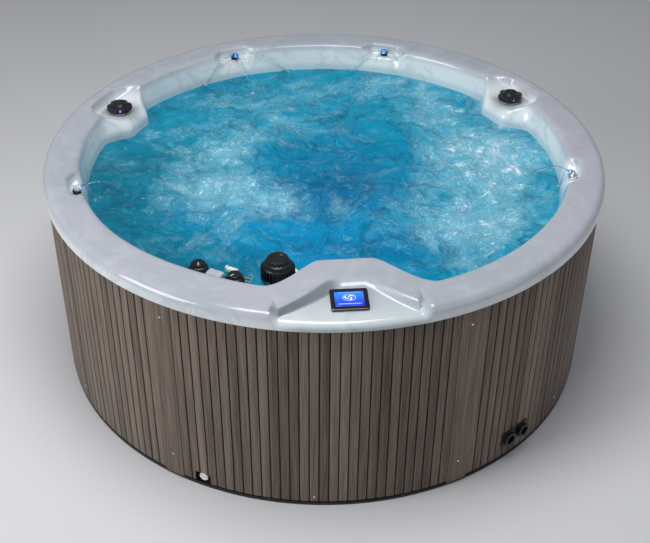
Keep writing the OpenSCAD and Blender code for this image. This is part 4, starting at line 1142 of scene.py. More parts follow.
def slatPanel(name, start, end, cuts=()):
    count = round(math.radians(end - start) * tub["slatRadius"] / tub["slatPitch"])
    step = (end - start) / count
    half = math.degrees(tub["grooveWidth"] / 2 / tub["slatRadius"])
    low, high = tub["panelFoot"], tub["panelTop"]
    boards = []
    for i in range(count):
        first = start + i * step + (half if i else 0)
        last = start + (i + 1) * step - (half if i < count - 1 else 0)
        width = 2 * tub["slatRadius"] * math.sin(math.radians(last - first) / 2)
        face = tub["slatRadius"] * math.cos(math.radians(last - first) / 2)
        thick = tub["grooveDepth"] + 0.0015
        board = boxed(f"{name}Board{i}", (thick, width, high - low), (face - thick / 2, 0, (low + high) / 2))
        editing(board)
        pickFaces(board, lambda centre, normal: abs(normal.z) < 0.5 and normal.x > -0.5)
        done()
        softened(board, 0.0012, 2)
        moved(board, spun((first + last) / 2))
        for turn, reach, cutter in cuts:
            if turnGap(turn, (first + last) / 2) < reach + step:
                cutBy(board, cutter())
        boards.append(toned(board, chance.random()))
    inner, outer = tub["slatRadius"] - tub["panelThick"], tub["slatRadius"] - tub["grooveDepth"] - 0.0002
    back = arcBand(f"{name}Back", inner, outer, low, high, start, end)
    for turn, reach, cutter in cuts:
        cutBy(back, cutter())
    boards.append(toned(back, 0.5))
    return joined(name, boards)


def roundHole(radius, turn, height, size, depth=0.09):
    deselect()
    bpy.ops.mesh.primitive_cylinder_add(vertices=40, radius=size, depth=depth)
    hole = settle(bpy.context.object)
    return moved(hole, atPolar(radius, turn, height) @ tipped(90))


def drainNotch():
    notch = boxed("drainNotch", (0.09, 0.0598, 0.1275), (tub["slatRadius"] - tub["panelThick"] / 2, 0, 0.0))
    return moved(notch, spun(tub["drainTurn"]))


# Each cut: its turn, how many degrees it reaches to the side, and what makes its cutter
def screwHole(turn, height):
    return turn, 0.3, lambda: roundHole(tub["slatRadius"], turn, height, tub["screwHole"])


def inletHole(turn):
    return turn, 1.3, lambda: roundHole(tub["slatRadius"], turn, inlet["height"], inlet["hole"])


bare = battenDegrees / 2 + 0.03
frontCuts = [(tub["drainTurn"], 1.8, drainNotch), screwHole(tub["frontTurn"], tub["frontScrew"])]
frontPanel = slatPanel("frontSlats", battenTurns[0] + bare, battenTurns[1] - bare, frontCuts)
shown(smoothed(frontPanel), slatFinish, "access_panel", "slats", "front_panel")
for i in range(1, 6):
    start = battenTurns[i] + bare
    cuts = [screwHole(battenTurns[i] + sideSpan / 2, tub["panelScrew"])]
    if i == 1:
        cuts += [inletHole(turn) for turn in tub["inlets"]]
    panel = slatPanel(f"sideSlats{i}", start, start + sideSpan - 2 * bare, cuts)
    shown(smoothed(panel), slatFinish, "tub", "slats", f"side_panel_{i}")


def battenBoards():
    boards = []
    inner, outer = tub["slatRadius"] - tub["panelThick"], tub["slatRadius"] + tub["battenProud"]
    for turn in battenTurns:
        board = arcBand("batten", inner, outer, tub["battenFoot"], tub["panelTop"],
                        turn - battenDegrees / 2, turn + battenDegrees / 2)
        softened(board, 0.0015)
        for height in tub["battenScrews"]:
            cutBy(board, roundHole(outer, turn, height, tub["screwHole"], 0.05))
        boards.append(toned(board, chance.random()))
    return joined("cornerBattens", boards)


shown(smoothed(battenBoards()), slatFinish, "tub", "slats", "corner_battens")


# Plastics, metal and rubber of the fittings
def moulded(name, colour, rough=0.34, pebble=0.00012, grain=420):
    finish = Finish(name, Specular_IOR_Level=0.5)
    blotch = finish.cloud(38, 4, 0.6)
    fine = finish.cloud(grain, 3, 0.6)
    worn = finish.band(blotch, 0.45, 0.75)
    lighter = tuple(min(1, c * 1.6 + 0.012) for c in colour[:3]) + (1.0,)
    base = finish.blend(worn * 0.3 + finish.band(fine, 0.62, 0.72) * 0.2, colour, lighter)
    finish.give(Base_Color=base, Roughness=fine * 0.1 + worn * 0.1 + (rough - 0.08),
                Normal=finish.bump(fine, pebble, 0.6))
    return finish


def brushed(name, colour, stretch=(1, 1, 40), rough=0.24):
    finish = Finish(name, Metallic=1.0)
    lines = finish.cloud(30, 4, 0.7, where=finish.stretched(stretch))
    stain = finish.band(finish.cloud(16, 4, 0.6), 0.5, 0.8)
    darker = tuple(c * 0.72 for c in colour[:3]) + (1.0,)
    base = finish.blend(lines * 0.5 + stain * 0.35, colour, darker)
    finish.give(Base_Color=base, Roughness=lines * 0.14 + stain * 0.16 + rough - 0.07,
                Normal=finish.bump(lines, 0.00006, 0.5))
    return finish


def lit(name, colour, strength, rim):
    # a small lens, lit from below, with a darker colour mottled through it
    finish = Finish(name, Roughness=0.12, Coat_Weight=0.5, Emission_Strength=strength)
    glow = finish.band(finish.cloud(90, 2, 0.5), 0.3, 0.62)
    finish.give(Base_Color=finish.blend(glow, rim, colour), Emission_Color=finish.blend(glow, rim, colour))
    return finish


blackPlastic = moulded("blackPlastic", tint(24, 24, 27), 0.3)
ribBlack = moulded("ribbedBlack", tint(18, 18, 20), 0.36, 0.0002, 300)
greyPlastic = moulded("greyPlastic", tint(138, 142, 146), 0.38)
paleGrey = moulded("paleGreyPlastic", tint(186, 190, 196), 0.3)
whitePlastic = moulded("whitePlastic", tint(228, 229, 226), 0.34)
chrome = brushed("polishedSteel", tint(214, 216, 220), (1, 1, 6), 0.16)
steel = brushed("stainlessSteel", tint(196, 198, 202))


def diverterKnob(name):
    r, h = diverter["radius"], diverter["height"]
    body = turned("knobBody", [
        (0.0089, -0.0215), (0.0089, 0.0001), (r - 0.008, 0.0001), (r - 0.0055, 0.0012), (r - 0.0048, 0.0045),
        (r - 0.0012, 0.0055), (r, 0.0072), (r, 0.019), (r - 0.0014, 0.0222), (r - 0.0046, 0.024),
        (r - 0.0165, 0.0252), (r - 0.0205, 0.0262), (r - 0.0228, 0.0285), (r - 0.0234, h - 0.0014),
        (r - 0.0248, h - 0.0002), (0.0192, h), (0.0182, h - 0.0008), (0.0176, h - 0.003),
    ], 96)
    fluted(body, diverter["lobes"], diverter["hollow"], 0.005, 0.0245, 0.033, 1.6)
    grips = []
    for i in range(diverter["lobes"]):
        for side in (-9, 0, 9):
            grip = boxed("grip", (0.0016, 0.0022, 0.0125), (r - 0.0007, 0, 0.0128), 0.0006)
            grips.append(moved(grip, spun(i * 360 / diverter["lobes"] + side)))
    grip = joined("knobGrips", grips)
    cap = turned("knobCap", [
        (0.0174, h - 0.0036), (0.0174, h - 0.0018), (0.016, h - 0.001), (0.008, h - 0.0006),
    ], 48)
    face = r - diverter["hollow"] - 0.0022
    window = moved(boxed("knobWindow", (0.006, 0.023, 0.0125), (face, 0, 0.0135), 0.0026, 4), spun(-90))
    glass = lit("diverterWindow", diverter["glow"], diverter["glowStrength"], tint(34, 30, 96))
    skirt = turned("knobSkirt", [
        (r - 0.0085, -0.0003), (r - 0.0085, 0.0022), (r - 0.0015, 0.0022), (r - 0.0009, 0.0014),
        (r - 0.0009, 0.0001),
    ], 72)
    return assembled(name, (body, blackPlastic), (grip, ribBlack), (cap, ribBlack), (window, glass),
                     (skirt, greyPlastic))


print("stage: fittings")
knob = smoothed(diverterKnob("diverterKnob"))
for hand, turn in zip(("left", "right"), tub["shoulders"]):
    piece = copied(knob, f"diverter.{hand}", atPolar(diverterRadius, turn, niche + 0.0055) @ spun(-turn + 8))
    shown(piece, None, f"{hand}_diverter", "black_plastic", f"diverter_knob_{hand}")
dropped(knob)

# Air knobs: a scalloped collar under a ribbed cap with a pointer, and how far each is turned
airKnob = {"radius": 0.033, "height": 0.034, "scallops": 8, "ribs": 20, "block": 0.0296, "twists": (40, -25)}


def airControl(name):
    r, h = airKnob["radius"], airKnob["height"]
    body = turned("airBody", [
        (0.0069, -0.0215), (0.0069, 0.0001), (r - 0.0018, 0.0001), (r, 0.0018), (r, 0.0176),
        (r - 0.002, 0.0202), (0.0252, 0.021), (0.0238, 0.0222), (0.0232, 0.029), (0.0214, h - 0.0012),
        (0.0185, h), (0.007, h - 0.0014),
    ], 120)
    fluted(body, airKnob["scallops"], 0.0042, 0.0003, 0.0203, 0.028, 1.3)
    fluted(body, airKnob["ribs"], 0.0012, 0.0215, 0.031, 0.016)
    pointer = boxed("pointer", (0.017, 0.0038, 0.0022), (0.0095, 0, h - 0.0009), 0.0008)
    return assembled(name, (body, blackPlastic), (pointer, paleGrey))


knob = smoothed(airControl("airKnob"))
knobHeight = shelf + tub["collarHeight"] + 0.0005
for hand, turn, twist in zip(("left", "right"), tub["airKnobs"], airKnob["twists"]):
    piece = copied(knob, f"airKnob.{hand}", atPolar(knobRadius, turn, knobHeight) @ spun(twist))
    shown(piece, None, f"{hand}_air_knob", "black_plastic", f"air_knob_{hand}")
dropped(knob)


def airCollar(name):
    top = tub["collarHeight"]
    return turned(name, [
        (0.0071, -0.01), (0.0071, top - 0.001), (0.0082, top), (0.0226, top), (0.0238, top - 0.0012),
        (0.0238, 0.004), (0.023, 0.0004), (0.015, 0.0004), (0.015, -0.044), (0.008, -0.044),
    ], 64)


def airBlock(name):
    # a rounded block beside the left valve, with a screwed lid
    block = airKnob["block"]
    piece = boxed(name, (0.036, 0.058, block - 0.001), (0, 0, 0.0004 + block / 2), 0.007, 5)
    editing(piece)
    pickFaces(piece, lambda spot, normal: normal.z > 0.99)
    bpy.ops.mesh.inset(thickness=0.005, depth=0)
    bpy.ops.mesh.inset(thickness=0.0012, depth=-0.0012)
    done()
    return piece


collar = smoothed(airCollar("airCollar"))
collars = [copied(collar, f"collar{turn}", atPolar(knobRadius, turn, shelf)) for turn in tub["airKnobs"]]
dropped(collar)
collars.append(moved(smoothed(airBlock("airBlock")), atPolar(knobRadius, tub["airKnobs"][0] + 4.9, shelf)))
shown(joined("airValves", collars), paleGrey, "tub", "grey_plastic", "air_valves")

# Small fittings on the shelf, just above the water: a lens bracket, a hose clip and a lifting loop
trims = {"bracket": (0.721, -119.2), "clip": (0.742, -114.2), "loop": (0.722, -113.6), "loopRadius": 0.009}


def lensBracket(name):
    foot = boxed("foot", (0.016, 0.04, 0.022), (0, 0, 0.0112), 0.004, 3)
    cheek = boxed("cheek", (0.014, 0.006, 0.026), (0.001, -0.0215, 0.0132), 0.002, 2)
    lens = turned("lens", [(0.0068, -0.004), (0.0068, 0.001), (0.0056, 0.0024), (0.003, 0.0032)], 32)
    return joined(name, [foot, cheek, moved(lens, placed(0.0085, 0.004, 0.013) @ tipped(90))])


def hoseClip(name):
    base = boxed("base", (0.02, 0.034, 0.01), (0, 0, 0.0052), 0.003, 3)
    jaw = boxed("jaw", (0.007, 0.024, 0.009), (0.003, 0, 0.0135), 0.0022, 2)
    return joined(name, [base, jaw])


def liftLoop(name):
    reach = trims["loopRadius"]
    turns = [math.radians(a) for a in range(-6, 187, 12)]
    path = [(reach * math.cos(a), reach * 1.5 * math.sin(a)) for a in turns]
    return moved(swept(name, path, [0.0016] * len(path), 10), spun(55) @ placed(0, 0, 0.0014))


for kind, made, angle, finish, slot in (
    ("bracket", lensBracket("lensBracket"), 35, whitePlastic, "white_plastic"),
    ("clip", hoseClip("hoseClip"), 35, greyPlastic, "grey_plastic"),
    ("loop", liftLoop("liftLoop"), 60, paleGrey, "grey_plastic"),
):
    shown(moved(smoothed(made, angle), atPolar(*trims[kind], shelf)), finish, "tub", slot)

# Fountain nozzles: a short body with a spout that leans towards the water
nozzle = {
    "radius": 0.015,
    "height": 0.024,
    "lean": -60,
    "lenses": (tint(60, 150, 255), tint(70, 160, 255), tint(150, 210, 255), tint(110, 190, 235)),
    "glowStrength": 3.0,
}


def fountainNozzle(name, body, mouth, lens):
    r, h = nozzle["radius"], nozzle["height"]
    tip = h * 0.75
    base = turned("nozzleBase", [
        (0.0069, -0.022), (0.0069, 0.0001), (r - 0.0006, 0.0001), (r, 0.0008), (r, 0.0034),
        (r - 0.0011, 0.0042), (r - 0.0011, 0.006), (r, 0.0068), (r, 0.0112), (r - 0.001, 0.013),
        (r - 0.0036, h * 0.6),
    ], 48)
    spout = turned("nozzleSpout", [
        (0.0098, -0.006), (0.0112, 0.0012), (0.012, 0.0022), (0.012, 0.0072), (0.0112, 0.0082),
        (0.0112, 0.0096), (0.012, 0.0104), (0.012, 0.0168), (0.0112, tip), (0.0088, tip),
        (0.0081, tip - 0.0018),
    ], 48)
    glass = turned("nozzleLens", [(0.008, tip - 0.0024), (0.008, tip - 0.001), (0.004, tip - 0.0003)], 32)
    lean = placed(0, 0, h * 0.5) @ tipped(nozzle["lean"])
    return assembled(name, (base, body), (moved(spout, lean), mouth), (moved(glass, lean), lens))


nozzleHeight = pocket + 0.0055
nozzleFinishes = [(blackPlastic, blackPlastic)] * 2 + [(blackPlastic, paleGrey), (chrome, chrome)]
for i, turn in enumerate(tub["fountains"]):
    lens = lit(f"fountainLens{i + 1}", nozzle["lenses"][i], nozzle["glowStrength"], tint(10, 60, 170))
    piece = fountainNozzle(f"fountainNozzle.{i + 1}", *nozzleFinishes[i], lens)
    moved(smoothed(piece), atPolar(fountainRadius, turn, nozzleHeight))
    shown(piece, None, f"nozzle_{i + 1}", "nozzle_black", f"fountain_nozzle_{i + 1}")


def clearWater():
    finish = Finish("clearWater", Roughness=0.02, IOR=1.33, Transmission_Weight=1.0)
    flow = finish.cloud(60, 3, 0.5)
    tone = finish.blend(finish.band(flow, 0.5, 0.7), tint(206, 232, 242), tint(240, 250, 255))
    finish.give(Base_Color=tone, Normal=finish.bump(flow, 0.0008, 0.6))
    return finish


def fountainArcs(name, turn, shapes):
    # thin arcs of clear water, thicker where they meet the surface
    arcs = []
    fall = nozzleHeight + fountain["mouth"][2] - water["level"] + 0.004
    for i, (reach, side, rise) in enumerate(shapes):
        path, radii = [], []
        for k in range(fountain["steps"] + 1):
            t = k / fountain["steps"]
            path.append((reach * t, 4 * rise * t * (1 - t) * (1 - 0.4 * t) - fall * t * t))
            uneven = 0.12 * math.sin(k * 2.1 + i)
            radii.append(fountain["thick"] * (1 - 0.3 * t + uneven + 0.8 * max(0, t - 0.9)))
        arc = swept(f"arc{i}", path, radii, 10)
        arcs.append(moved(arc, placed(*fountain["mouth"]) @ spun(180 + side)))
    return moved(joined(name, arcs), atPolar(fountainRadius, turn, nozzleHeight))


flowing = clearWater()
for i, (turn, shapes) in enumerate(zip(tub["fountains"], fountain["arcs"])):
    # the middle arc turns with its nozzle; the side ones would fall on the deck
    middle = fountainArcs(f"fountainStream.{i + 1}", turn, shapes[:1])
    shown(smoothed(middle, 60), flowing, f"nozzle_{i + 1}", "shell")
    sides = fountainArcs(f"fountainArcs.{i + 1}", turn, shapes[1:])
    shown(smoothed(sides, 60), flowing, "tub", "shell")

# The skimmer: a stepped basket with upright ribs
skimmer = {"radius": 0.058, "lift": 0.012, "height": 0.08, "ribs": 28}


def skimmerBasket(name):
    r, h = skimmer["radius"], skimmer["height"]
    body = turned("basketBody", [
        (0.0105, 0.031), (0.0105, 0.0004), (r - 0.0012, 0.0001), (r, 0.0012), (r, 0.0086),
        (r - 0.0012, 0.01), (r - 0.0066, 0.0104), (r - 0.008, 0.012), (r - 0.0086, 0.044),
        (r - 0.0098, 0.0476),
        (r - 0.0118, 0.0492), (r - 0.0122, 0.0504), (r - 0.0124, 0.06), (r - 0.014, 0.0628),
        (r - 0.0186, 0.064), (r - 0.0194, 0.0652), (r - 0.02, h - 0.005), (r - 0.0222, h - 0.0016),
        (r - 0.026, h - 0.0004), (0.022, h), (0.02, h - 0.003),
    ], 112)
    fluted(body, 28, 0.0018, 0.05, 0.061, 0.036)
    fluted(body, 20, 0.002, 0.0648, h - 0.003, 0.028)
    rib = boxed("rib", (0.009, 0.0034, 0.0385), (r - 0.005, 0, 0.0085 + 0.0385 / 2), 0.0009)
    ribs = ringOf("basketRibs", rib, skimmer["ribs"])
    fin = boxed("fin", (0.007, 0.0024, 0.011), (r - 0.0162, 0, 0.0555), 0.0007)
    fins = ringOf("basketFins", fin, skimmer["ribs"], 6.4)
    return assembled(name, (body, blackPlastic), (ribs, ribBlack), (fins, ribBlack))


basketPlace = atPolar(filterRadius, tub["filterTurn"], shelf + skimmer["lift"])
basket = moved(smoothed(skimmerBasket("skimmerBasket")), basketPlace)
shown(basket, None, "skimmer", "black_plastic", "skimmer_basket")

# The filter under it: a canister with a rim, and a pleated cartridge on a stem
filterKit = {"canister": 0.07, "depth": 0.274, "cartridge": 0.056, "pleats": 36}


def filterCanister(name):
    inner, outer = filterKit["canister"], filterKit["canister"] + 0.004
    foot = shelf + 0.003 - filterKit["depth"]
    return turned(name, [
        (0.024, foot - 0.03), (0.024, foot - 0.002), (0.027, foot), (outer - 0.004, foot),
        (outer, foot + 0.004), (outer, shelf + 0.0004), (outer + 0.009, shelf + 0.0004),
        (outer + 0.009, shelf + 0.0042),
        (outer + 0.0078, shelf + 0.0054), (inner + 0.001, shelf + 0.0054), (inner, shelf + 0.0044),
        (inner, foot + 0.01), (inner - 0.004, foot + 0.006), (0.021, foot + 0.006), (0.02, foot + 0.002),
        (0.02, foot - 0.026),
    ], 96)


def filterCartridge(name):
    r = filterKit["cartridge"]
    foot = shelf + 0.003 - filterKit["depth"] + 0.0063
    top = foot + filterKit["depth"] - 0.044
    base = shelf + skimmer["lift"]
    media = turned("media", [(r - 0.003, foot + 0.008), (r - 0.003, top - 0.008)], filterKit["pleats"] * 6)
    fluted(media, filterKit["pleats"], 0.007, 0, 1, 0.02)
    pieces = [(media, pleated)]

    def hoop(kind, radius, inset, low, high, finish):
        rows = [(radius - inset, low), (radius, low + 0.001), (radius, high - 0.001), (radius - inset, high)]
        pieces.append((turned(kind, rows, 64), finish))

    for low in (foot, top - 0.01):
        hoop("end", r, 0.001, low, low + 0.01, blueRubber)
    for low in (lerp(foot, top, 0.33), lerp(foot, top, 0.66)):
        hoop("band", r - 0.0022, 0.0006, low, low + 0.007, ribBlack)
    stem = turned("stem", [
        (0.01, top - 0.001), (0.01, base - 0.006), (0.018, base - 0.0043), (0.018, base - 0.001),
        (0.0165, base - 0.0003), (0.01, base - 0.0003), (0.01, base + 0.0285), (0.0085, base + 0.0299),
    ], 32)
    return assembled(name, *pieces, (stem, blueRubber))


def pleatedPaper():
    finish = Finish("filterMedia", Roughness=0.9, Specular_IOR_Level=0.2)
    weave = finish.cloud(900, 3, 0.6)
    soiled = finish.band(finish.cloud(14, 5, 0.65), 0.45, 0.75)
    base = finish.layered(tint(226, 231, 236), (soiled * 0.6, tint(196, 196, 182)),
                          (finish.band(weave, 0.55, 0.7) * 0.4, tint(170, 182, 196)))
    finish.give(Base_Color=base, Normal=finish.bump(weave, 0.0004, 0.7))
    return finish


pleated = pleatedPaper()
blueRubber = moulded("filterEnds", tint(34, 66, 122), 0.45, 0.0003, 260)
filterPlace = atPolar(filterRadius, tub["filterTurn"], 0)
canister = moved(smoothed(filterCanister("filterCanister")), filterPlace)
shown(canister, whitePlastic, "tub", "white_plastic", "filter_canister")
cartridge = moved(smoothed(filterCartridge("filterCartridge"), 40), filterPlace)
shown(cartridge, None, "cartridge", "filter_media", "filter_cartridge")

# The display: a framed touch panel in the recess of the front rim
display = {
    "depth": 0.094,
    "width": 0.12,
    "foot": 0.0006,
    "frame": 0.009,
    "rim": 0.014,
    "inset": 0.002,
    "glow": 1.5,
}


def screenFinish():
    # a plain control page: a dial with a soft swirl, and a row of round keys under it
    finish = Finish("displayScreen", Roughness=0.08, Coat_Weight=1.0, Coat_Roughness=0.03,
                    Emission_Strength=display["glow"])
    middle = displayPlace.to_translation()
    u = finish.along(displayPlace.to_3x3() @ Vector((0, 1, 0)), middle)
    v = finish.along(displayPlace.to_3x3() @ Vector((-1, 0, 0)), middle)
    up = v - 0.006
    reach = finish.maths("SQRT", u * u * 0.55 + up * up)
    swirl = finish.maths("SINE", finish.maths("ARCTAN2", up, u) * 3 + reach * 520)
    disc = (1 - finish.band(reach, 0.0112, 0.0126)) * finish.band(reach, 0.0022, 0.0034)
    petals = finish.band(swirl, -0.1, 0.5) * disc
    halo = finish.band(reach, 0.0136, 0.0146) * (1 - finish.band(reach, 0.015, 0.016))
    column = finish.maths("PINGPONG", u + 0.0065, 0.0065) - 0.00325
    row = v + 0.0215
    key = finish.maths("SQRT", column * column + row * row)
    aside = finish.maths("ABSOLUTE", u)
    keys = (1 - finish.band(key, 0.002, 0.0027)) * (aside < 0.036)
    bar = (finish.maths("ABSOLUTE", v - 0.0275) < 0.001) * (aside < 0.034)
    page = finish.layered(
        finish.blend(finish.band(v, -0.03, 0.03), tint(12, 40, 190), tint(40, 120, 250)),
        (finish.band(finish.cloud(46, 3, 0.5), 0.4, 0.7) * 0.4, tint(30, 90, 240)),
        (finish.clamped(petals * 0.85 + halo * 0.6), tint(235, 244, 255)),
        (keys * 0.8, tint(180, 226, 255)),
        (bar * 0.5, tint(150, 210, 255)),
    )
    finish.give(Base_Color=finish.blend(0.92, page, tint(4, 6, 14)), Emission_Color=page)
    return finish


def displayPlate(name, inset, low, high, corner, edge=0.0):
    return roundPlate(name, display["depth"] - inset, display["width"] - inset, low, high, corner, edge)


def displayFrame(name, high):
    frame = displayPlate("displayFrame", 0, display["foot"], high, 0.008, 0.0012)
    window = displayPlate("displayWindow", 2 * display["rim"], high - display["inset"], high + 0.01, 0.003)
    cutBy(frame, window)
    neck = boxed("displayNeck", (display["depth"] - 0.022, display["width"] - 0.022, 0.025), (0, 0, -0.0115))
    keys = []
    for i in range(4):
        key = turned("softKey", [(0.0024, high - 0.0002), (0.0023, high), (0.0018, high + 0.0001)], 20)
        keys.append(moved(key, placed(0.0405, -0.03 + i * 0.02, 0)))
    return joined(name, [frame, neck] + keys)


def glossBlack():
    finish = Finish("displayGlass", Roughness=0.1, Coat_Weight=0.8, Coat_Roughness=0.04)
    smear = finish.cloud(24, 4, 0.6, 1.0)
    dust = finish.band(finish.cloud(700, 2, 0.5), 0.7, 0.76)
    finish.give(Base_Color=finish.blend(dust * 0.5, tint(9, 9, 11), tint(70, 72, 76)),
                Roughness=smear * 0.16 + 0.03)
    return finish


bezelTop = display["foot"] + display["frame"]
bezel = moved(smoothed(displayFrame("displayBezel", bezelTop)), displayPlace)
shown(bezel, glossBlack(), "tub", "black_plastic", "display_bezel")
screenFoot = bezelTop - display["inset"]
screenInset = 2 * display["rim"] + 0.0006
glass = displayPlate("displayScreen", screenInset, screenFoot, screenFoot + 0.0016, 0.003, 0.0003)
shown(moved(smoothed(glass), displayPlace), screenFinish(), "tub", "screen", "display_screen")

# Jets: a stainless flange with a turning face and two eyes, and small jets beside it
jet = {"flange": 0.045, "eye": 0.03, "barrel": 0.032, "smallFlange": 0.02, "smallBarrel": 0.012}


def jetBody(name):
    eye, flange, barrel = jet["eye"], jet["flange"], jet["barrel"]
    return turned(name, [
        (0.0095, 0.044), (0.0095, 0.016), (eye + 0.0003, 0.015), (eye + 0.0003, -0.0082),
        (eye + 0.0014, -0.0093), (eye + 0.007, -0.009), (eye + 0.0082, -0.008), (flange - 0.003, -0.0078),
        (flange, -0.0052), (flange, -0.0023), (barrel, -0.0023), (barrel, 0.058), (0.02, 0.0587),
    ], 72)


def jetFace(name):
    face = turned(name, [
        (0.009, 0.04), (0.009, 0.0027), (0.0294, 0.0027), (0.0294, -0.0092), (0.0282, -0.0106),
        (0.0256, -0.011), (0.0244, -0.0098), (0.0075, -0.0098), (0.0064, -0.0112), (0.003, -0.0113),
    ], 72)
    for side in (-1, 1):
        eye = turned("eye", [(0.0062, -0.02), (0.008, -0.0105), (0.006, -0.002)], 32)
        cutBy(face, moved(eye, placed(side * 0.0156, 0, 0)))
    return face


def smallJet(name):
    r, barrel = jet["smallFlange"], jet["smallBarrel"]
    return turned(name, [
        (0.008, 0.0066), (0.008, -0.0052), (0.0094, -0.0063), (r - 0.004, -0.0062), (r - 0.0012, -0.005),
        (r, -0.0034), (r, -0.0014), (barrel, -0.0014), (barrel, 0.04), (0.008, 0.0406),
    ], 48)


body = smoothed(jetBody("jetBody"))
face = smoothed(jetFace("jetFace"))
small = smoothed(smallJet("smallJet"))
jetPlaces = [onWall(turn, tub["jetHeight"]) for turn in tub["seats"]]
bodies = [copied(body, f"jetBody{i}", place) for i, place in enumerate(jetPlaces)]
smalls = [copied(small, f"smallJet{turn}", onWall(turn, tub["smallJetHeight"])) for turn in smallJetTurns]
shown(joined("jetBodies", bodies), steel, "tub", "steel", "jet_bodies")
shown(joined("smallJets", smalls), steel, "tub", "steel", "small_jets")
for i, place in enumerate(jetPlaces):
    shown(copied(face, f"jetFace.{i + 1}", place), chrome, f"jet_{i + 1}", "steel", f"jet_face_{i + 1}")
for piece in (body, face, small):
    dropped(piece)

# Air inlets low on the side, the drain and its cap, and the screws


def airInlet(name):
    bore, pipe, ring = inlet["bore"], inlet["pipe"], inlet["ring"]
    plate = boxed("inletPlate", inlet["plate"], (0.0025, 0, -0.002), 0.0016, 3)
    tube = turned("inletPipe", [
        (bore, 0.0185), (bore, -0.048), (bore + 0.001, -0.05), (pipe, -0.05), (pipe, 0.003),
        (ring, 0.0042), (ring, 0.017), (ring - 0.0022, 0.0196), (ring - 0.005, 0.0199),
        (bore + 0.001, 0.0195), (bore, 0.0185),
    ], 56, False)
    outward(tube)
    fluted(tube, 28, 0.0008, 0.005, 0.0165, 0.0255)
    screen = []
    for k in (-1, 0, 1):
        screen.append(boxed("bar", (0.032, 0.002, 0.002), (0, k * 0.008, 0.004), 0.0006))
        screen.append(boxed("bar", (0.002, 0.032, 0.002), (k * 0.008, 0, 0.002), 0.0006))
    parts = [moved(part, tipped(90)) for part in [tube] + screen]
    hole = moved(turned("plateHole", [(0.0205, -0.02), (0.0205, 0.02)], 48), tipped(90))
    return joined(name, [cutBy(plate, hole)] + parts)


unit = smoothed(airInlet("airInlet"))
inlets = [copied(unit, f"inlet{i}", atPolar(tub["slatRadius"] + 0.0003, turn, inlet["height"]))
          for i, turn in enumerate(tub["inlets"])]
dropped(unit)
shown(joined("airInlets", inlets), ribBlack, "tub", "black_plastic", "air_inlets")

drain = {"height": 0.041, "radius": 0.013}


def drainOutlet(name):
    r = drain["radius"]
    spout = turned("spout", [
        (r - 0.004, -0.03), (r - 0.004, -0.0006), (r - 0.0034, 0.0), (r - 0.0006, 0.0), (r, -0.0008),
        (r, -0.01), (r - 0.001, -0.0106), (r - 0.001, -0.013), (r, -0.0136), (r, -0.09),
    ], 40)
    moved(spout, atPolar(tub["slatRadius"] - 0.012, tub["drainTurn"], drain["height"]) @ tipped(90))
    foot = boxed("foot", (0.024, 0.024, 0.029), (0.941, 0, 0.0265), 0.001)
    pipe = rodded("pipe", (0.0223, 0, 0.024), (0.939, 0, 0.024), 0.008)
    return joined(name, [spout] + [moved(part, spun(tub["drainTurn"])) for part in (foot, pipe)])


def drainCap(name):
    r = drain["radius"] + 0.004
    cap = turned("capBody", [
        (r - 0.0085, -0.0147), (r - 0.0082, -0.0002), (r - 0.0004, 0.0), (r, 0.0006), (r, 0.0052),
        (r - 0.001, 0.0066), (r - 0.003, 0.007), (r - 0.0042, 0.0064), (0.005, 0.006),
    ], 72)
    fluted(cap, 24, 0.0009, 0.0004, 0.0056, 0.014)
    grip = boxed("capGrip", (0.004, 0.0255, 0.005), (0, 0, 0.0075), 0.0012, 3)
    return joined(name, [cap, grip])


shown(smoothed(drainOutlet("drainOutlet")), whitePlastic, "tub", "white_plastic", "drain_outlet")
capPlace = atPolar(tub["slatRadius"] - 0.0117, tub["drainTurn"], drain["height"]) @ tipped(90)
cap = moved(smoothed(drainCap("drainCap")), capPlace)
shown(cap, whitePlastic, "cap", "white_plastic", "drain_cap")


def screwHead(name, shank):
    head = turned(name, [(0.0024, -shank), (0.0025, 0.0), (0.005, 0.0), (0.0049, 0.0008), (0.0043, 0.0016),
                         (0.003, 0.0021), (0.0012, 0.0022)], 28)
    for turn in (0, 90):
        cutBy(head, moved(boxed("slot", (0.0058, 0.0011, 0.0016), (0, 0, 0.0018)), spun(turn)))
    return moved(smoothed(head, 30), tipped(90))


long = screwHead("battenScrew", 0.0168)
short = screwHead("panelScrew", 0.0138)
battenRound = tub["slatRadius"] + tub["battenProud"] + 0.0001
panelRound = tub["slatRadius"] + 0.0001
screws = []
for turn in battenTurns:
    for height in tub["battenScrews"]:
        place = atPolar(battenRound, turn, height) @ Matrix.Rotation(chance.random(), 4, "X")
        screws.append(copied(long, "screw", place))
shown(joined("battenScrews", screws), chrome, "tub", "steel", "batten_screws")
screws = [copied(short, "screw", atPolar(panelRound, turn + sideSpan / 2, tub["panelScrew"]))
          for turn in battenTurns[1:]]
shown(joined("panelScrews", screws), chrome, "tub", "steel", "panel_screws")
frontScrew = copied(short, "frontPanelScrew", atPolar(panelRound, tub["frontTurn"], tub["frontScrew"]))
shown(frontScrew, chrome, "access_panel", "steel", "front_panel_screw")
dropped(long)
dropped(short)

# The technical parts under the shell keep their solids and get finishes of their own
print("stage: hidden fittings")


